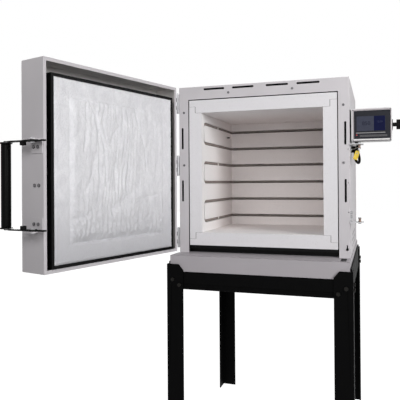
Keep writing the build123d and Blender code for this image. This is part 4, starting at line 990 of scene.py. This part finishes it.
figure_dark = finish("display_figure_dark", (0.014, 0.017, 0.034), 0.35, IOR=1.15)
figure_pale = finish("display_figure_pale", (0.035, 0.040, 0.085), 0.35, IOR=1.15)
field_middle = (field_low + field_high) / 2
number_tall = 19.0
hours_tall = 9.0
hours_lift = 5.0
shown_number("chamber_number", "850", number_tall, number_x, field_middle, figure_dark)
shown_number("hours_number", "12:30", hours_tall, (split_x + screen_high.x) / 2,
             field_middle + hours_lift, figure_pale)
film_y = (panel_low.y - 0.35, panel_low.y + 0.2)
bar_x = (screen_low.x + 1.0, screen_high.x)
bar_z = (screen_low.z - 5.2, screen_low.z - 2.6)
line_drops = (11.4, 15.2)
line_tall = 2.4
plates("screen_bar", [(bar_x, bar_z)], film_y, printed_grey, "controller",
       print_edge)
for number, drop in enumerate(line_drops):
    plates(f"panel_line_{number}",
           [(line_x, (screen_low.z - drop - line_tall, screen_low.z - drop))],
           film_y, printed_dim, "controller", print_edge)

# the lap seams at the four corners of the chamber's mouth, each an open line and two tight ones,
# drawn as dark strips of painted shadow
seam_y = box_mm("top_board")[0].y
half_board = 24.5
open_seam = 0.8
tight_seam = 0.3
seam_spans = []
for edge, way in ((back_low.x, -1), (back_high.x, 1)):
    for level, rise in ((back_high.z, 1), (back_low.z, -1)):
        step_x, step_z = edge + way * half_board, level + rise * half_board
        outer_x = edge + way * 2 * half_board
        seam_spans += [((step_x - open_seam, step_x + open_seam), sorted((level, step_z))),
                       (sorted((step_x, outer_x)), (step_z - tight_seam, step_z + tight_seam)),
                       (sorted((edge, step_x)), (level - tight_seam, level + tight_seam))]
plates("lap_seams", seam_spans, (seam_y - 0.08, seam_y + 0.5), seam_dark, "case")

# the bezel's margin and the painted shadow along its lower edge, and the margin of the display's
# fields
bezel_y = (housing_low.y - 0.2, housing_low.y + 0.1)
rim_x = (housing_low.x + 4.2, housing_high.x - 2.4)
rim_top = housing_high.z - 3.2
lower_edge = (housing_low.z + 0.2, housing_low.z + 2.8)
inner_x = (panel_low.x - 0.4, panel_high.x + 0.4)
inner_z = (panel_low.z - 0.4, panel_high.z + 0.4)
plates("bezel_margin", [(rim_x, (inner_z[1], rim_top)), ((rim_x[0], inner_x[0]), inner_z),
                        ((inner_x[1], rim_x[1]), inner_z)],
       bezel_y, bezel_grey, "controller")
margin_lap = 0.3
margin_low = screen_low.z - margin_lap
margin_left = (screen_low.x - margin_lap, screen_low.x + 3.4)
margin_x = (screen_low.x, screen_high.x + margin_lap)
plates("screen_margin", [(margin_left, (margin_low, screen_high.z)),
                         (margin_x, (field_high, screen_high.z + margin_lap)),
                         (margin_x, (margin_low, field_low))],
       (display_y[0] + 0.02, display_y[1]), panel_film, "controller")
plates("bezel_lower_edge", [(rim_x, lower_edge)], bezel_y, bezel_dark, "controller")


# ---- Cords
def route_curve(name, route, thickness=0.0):
    """A smooth cord line that follows its route's points."""
    made = line_curve(name, "NURBS", [on_case(*place) for place in route])
    spline = made.data.splines[0]
    spline.order_u = 3
    spline.use_endpoint_u = True
    spline.resolution_u = 12
    made.data.bevel_depth = thickness
    made.data.bevel_resolution = 4
    made.data.use_fill_caps = True
    return made


def line_of(route):
    """The points of a route's smooth line, in metres."""
    line = evaluated_mesh(route_curve("line", route))
    return [tuple(vert.co) for vert in line.vertices]


cable_diameter = 10.0
cable_route = [
    (663.0, 80.0, 399.8), (663.0, 80.0, 383.0), (666.0, 82.0, 366.0), (668.5, 89.0, 352.5),
    (668.0, 101.0, 342.0), (664.5, 116.0, 337.5), (660.0, 132.0, 339.5), (654.5, 146.0, 347.5),
    (651.5, 155.0, 358.0), (651.0, 158.0, 370.0), (651.0, 158.0, 378.0)]
lead_diameter = 2.2
lead_route = [
    (642.0, 66.0, 386.0), (650.0, 65.0, 386.0), (658.0, 58.0, 389.5), (664.5, 50.0, 391.0),
    (667.0, 46.0, 385.0), (664.6, 46.0, 378.0)]

cable_line = line_of(cable_route)
cable_mesh = evaluated_mesh(route_curve("cable", cable_route, cable_diameter / 2 * MM))
cable = coated("controller_cable_jacket", cable_mesh, cable_jacket)
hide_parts("controller_cable")
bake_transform(cable)

lead_line = line_of(lead_route)
lead_mesh = evaluated_mesh(route_curve("lead", lead_route, lead_diameter / 2 * MM))
lead = piece_of("thermocouple_lead_sleeve", lead_mesh, lead_sleeve, "case")
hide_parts("thermocouple_lead")


# ---- Thermocouple plug: two halves with ribs, and a screw
plug_width = 16.0
plug_length = 33.0
plug_thick = 8.0
rib_count = 5
rib_pitch = 2.6
rib_width = 1.2
rib_rise = 0.35


def plug_frame():
    """Places on the plug: across, through and down from where its lead enters."""
    down = (Vector(lead_route[-1]) - Vector(lead_route[-2])).normalized()
    through = Vector((0, 1, 0))
    across = through.cross(down).normalized()
    turn = Matrix((across, through, down)).transposed().to_4x4()
    return CASE @ Matrix.Translation(Vector(lead_route[-1])) @ turn


PLUG = plug_frame()


def plug_halves():
    """The plug's two halves with a split between them, and ribs across its grip."""
    work = bmesh.new()
    half, thick = plug_width / 2, plug_thick / 2
    side = [(half * 0.62, 0), (half * 0.98, 4.5), (half, plug_length * 0.45),
            (half * 0.94, plug_length * 0.98)]
    outline = [(-side[0][0], 0)] + side + [(-x, z) for x, z in side[:0:-1]]
    for near, far in ((-thick, -0.15), (0.15, thick)):
        first = [work.verts.new((x, near, z)) for x, z in outline]
        second = [work.verts.new((x, far, z)) for x, z in outline]
        work.faces.new(first)
        work.faces.new(second[::-1])
        for n in range(len(outline)):
            m = (n + 1) % len(outline)
            work.faces.new((first[n], second[n], second[m], first[m]))
    bmesh.ops.recalc_face_normals(work, faces=work.faces)
    rounded(work, 1.0, 3)
    for rib in range(rib_count):
        z = plug_length * 0.5 + rib_pitch * rib
        made = slab(work, (-half * 0.72, half * 0.72), (-thick - rib_rise, thick + rib_rise),
                    (z, z + rib_width))
        edges = {edge for vert in made for edge in vert.link_edges}
        bmesh.ops.bevel(work, geom=list(edges), offset=0.3, segments=1, affect="EDGES")
    work.transform(PLUG)
    return mesh_from("thermocouple_plug_halves", work)


plug = piece_of("thermocouple_plug_halves", plug_halves(), yellow_plastic, "case",
                smooth=False)
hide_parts("thermocouple_plug")
plug_pan = pan_head("plug_pan_head", 2.3 * MM, 0.9 * MM)
plug_seat = PLUG @ Vector((0, -plug_thick / 2, plug_length * 0.27))
front_side = (PLUG.to_3x3() @ Vector((0, -1, 0))).normalized()
plug_screw = fastened("plug_screw", [(plug_seat, front_side)], plug_pan, zinc, "case")

# ---- The thermocouple's bush in the chamber's left wall
probe_y = 368.0
probe_z = 470.0
bush_radius = 6.5
bush_bore = 3.6
work = turned([(bush_bore, -4.0), (bush_radius, -4.0), (bush_radius, 0.8),
               (bush_radius - 0.8, 1.4), (bush_bore, 1.4), (bush_bore, -4.0)], 32)
work.transform(CASE @ Matrix.Translation((back_low.x, probe_y, probe_z))
               @ Matrix.Rotation(math.pi / 2, 4, "Y"))
piece_of("thermocouple_bush", mesh_from("thermocouple_bush", work), ceramic, "case")

for head in (small_pan, face_pan, bezel_pan, plug_pan):
    bpy.data.objects.remove(head)

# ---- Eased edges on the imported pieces
ease_edges(wall_boards, 0.0007)
ease_edges(stand_angles, 0.0008)
ease_edges("door_frame hearth_support controller_panel keepers handle_brackets handle_arms",
           0.0005)

# ---- Stage, light and camera
def seen_directly(material):
    """1 for rays from the camera and rays that are reflected, and 0 for the rest."""
    rays = add_node(material, "LightPath")
    return combined(material, "MAXIMUM", rays.outputs["Is Camera Ray"],
                    rays.outputs["Is Glossy Ray"])


def show(material, share, first, second, output):
    """Mixes two surfaces by a share for the output of a material or world."""
    mixed = add_node(material, "MixShader")
    for place, value in enumerate((share, first, second)):
        join(material, value, mixed.inputs[place])
    join(material, mixed.outputs["Shader"], material.node_tree.nodes[output].inputs["Surface"])


# the ground looks white, and keeps its shadow
white_ground = finish("white_ground", (0.4, 0.4, 0.4), 0.9)
glow = add_node(white_ground, "Emission", Strength=1.32)
show(white_ground, combined(white_ground, "MULTIPLY", seen_directly(white_ground), 0.8),
     white_ground.node_tree.nodes["Principled BSDF"].outputs["BSDF"], glow.outputs["Emission"],
     "Material Output")
ground_reach = 15.0
ground_corners = [(x * ground_reach, y * ground_reach, 0)
                  for x, y in ((-1, -1), (1, -1), (1, 1), (-1, 1))]
ground_mesh = bpy.data.meshes.new("ground")
ground_mesh.from_pydata(ground_corners, [], [(0, 1, 2, 3)])
ground_mesh.materials.append(white_ground)
ground = linked("ground", ground_mesh)
ground.location.z = cad_low.z

# the world lights the kiln faintly, and looks white
world = bpy.data.worlds.new("studio")
bpy.context.scene.world = world
world.use_nodes = True
faint = world.node_tree.nodes["Background"]
faint.inputs["Color"].default_value = (1, 1, 1, 1)
faint.inputs["Strength"].default_value = 0.03
white = add_node(world, "Background", Strength=1.0, Color=(1, 1, 1, 1))
passing = add_node(world, "LightPath").outputs["Is Transmission Ray"]
show(world, combined(world, "MAXIMUM", seen_directly(world), passing), faint.outputs[0],
     white.outputs[0], "World Output")


def soft_light(name, place, aim, size, power):
    """A rectangular light in metres and watts, turned to what it lights."""
    data = bpy.data.lights.new(name, "AREA")
    data.shape = "RECTANGLE"
    data.size, data.size_y = size
    data.energy = power
    made = linked(name, data)
    made.location = place
    made.rotation_euler = (Vector(aim) - Vector(place)).to_track_quat("-Z", "Y").to_euler()


soft_light("front", (-0.35, -2.2, 2.3), (0.0, 0.0, 1.1), (1.1, 0.8), 16)
soft_light("near_camera", (0.75, -2.5, 1.45), (0.05, 0.0, 1.05), (1.6, 1.0), 16)
soft_light("right", (2.2, -1.2, 1.75), (0.05, -0.1, 1.05), (0.8, 0.9), 43)
soft_light("back", (-0.35, 2.6, 2.2), (0.0, 0.2, 1.0), (1.8, 1.2), 34)
soft_light("left_back", (-2.5, 1.5, 1.9), (-0.3, 0.0, 1.0), (1.4, 1.0), 34)

# the camera as it was fitted to the photograph, in case millimetres, radians and pixels
camera_place = (724.5, -1905.6, 266.6)
camera_yaw = 0.3245
camera_pitch = 0.0059
camera_roll = -0.0066
focal_pixels = 523.0
picture_pixels = 400.0
centre_pixels = (199.9, 180.1)
camera_data = bpy.data.cameras.new("camera")
camera = linked("camera", camera_data)
camera_data.sensor_width = 36.0
camera_data.lens = focal_pixels / picture_pixels * camera_data.sensor_width
camera_data.shift_x = (picture_pixels / 2 - centre_pixels[0]) / picture_pixels
camera_data.shift_y = (centre_pixels[1] - picture_pixels / 2) / picture_pixels
forward = Vector((-math.sin(camera_yaw) * math.cos(camera_pitch),
                  math.cos(camera_yaw) * math.cos(camera_pitch), math.sin(camera_pitch)))
level = Vector((math.cos(camera_yaw), math.sin(camera_yaw), 0))
upward = level.cross(forward)
right = math.cos(camera_roll) * level + math.sin(camera_roll) * upward
up = math.cos(camera_roll) * upward - math.sin(camera_roll) * level
camera.matrix_world = Matrix.Translation(on_case(*camera_place)) @ Matrix(
    (right, up, -forward)).transposed().to_4x4()
bpy.context.scene.camera = camera
bpy.context.scene.view_settings.view_transform = "Standard"
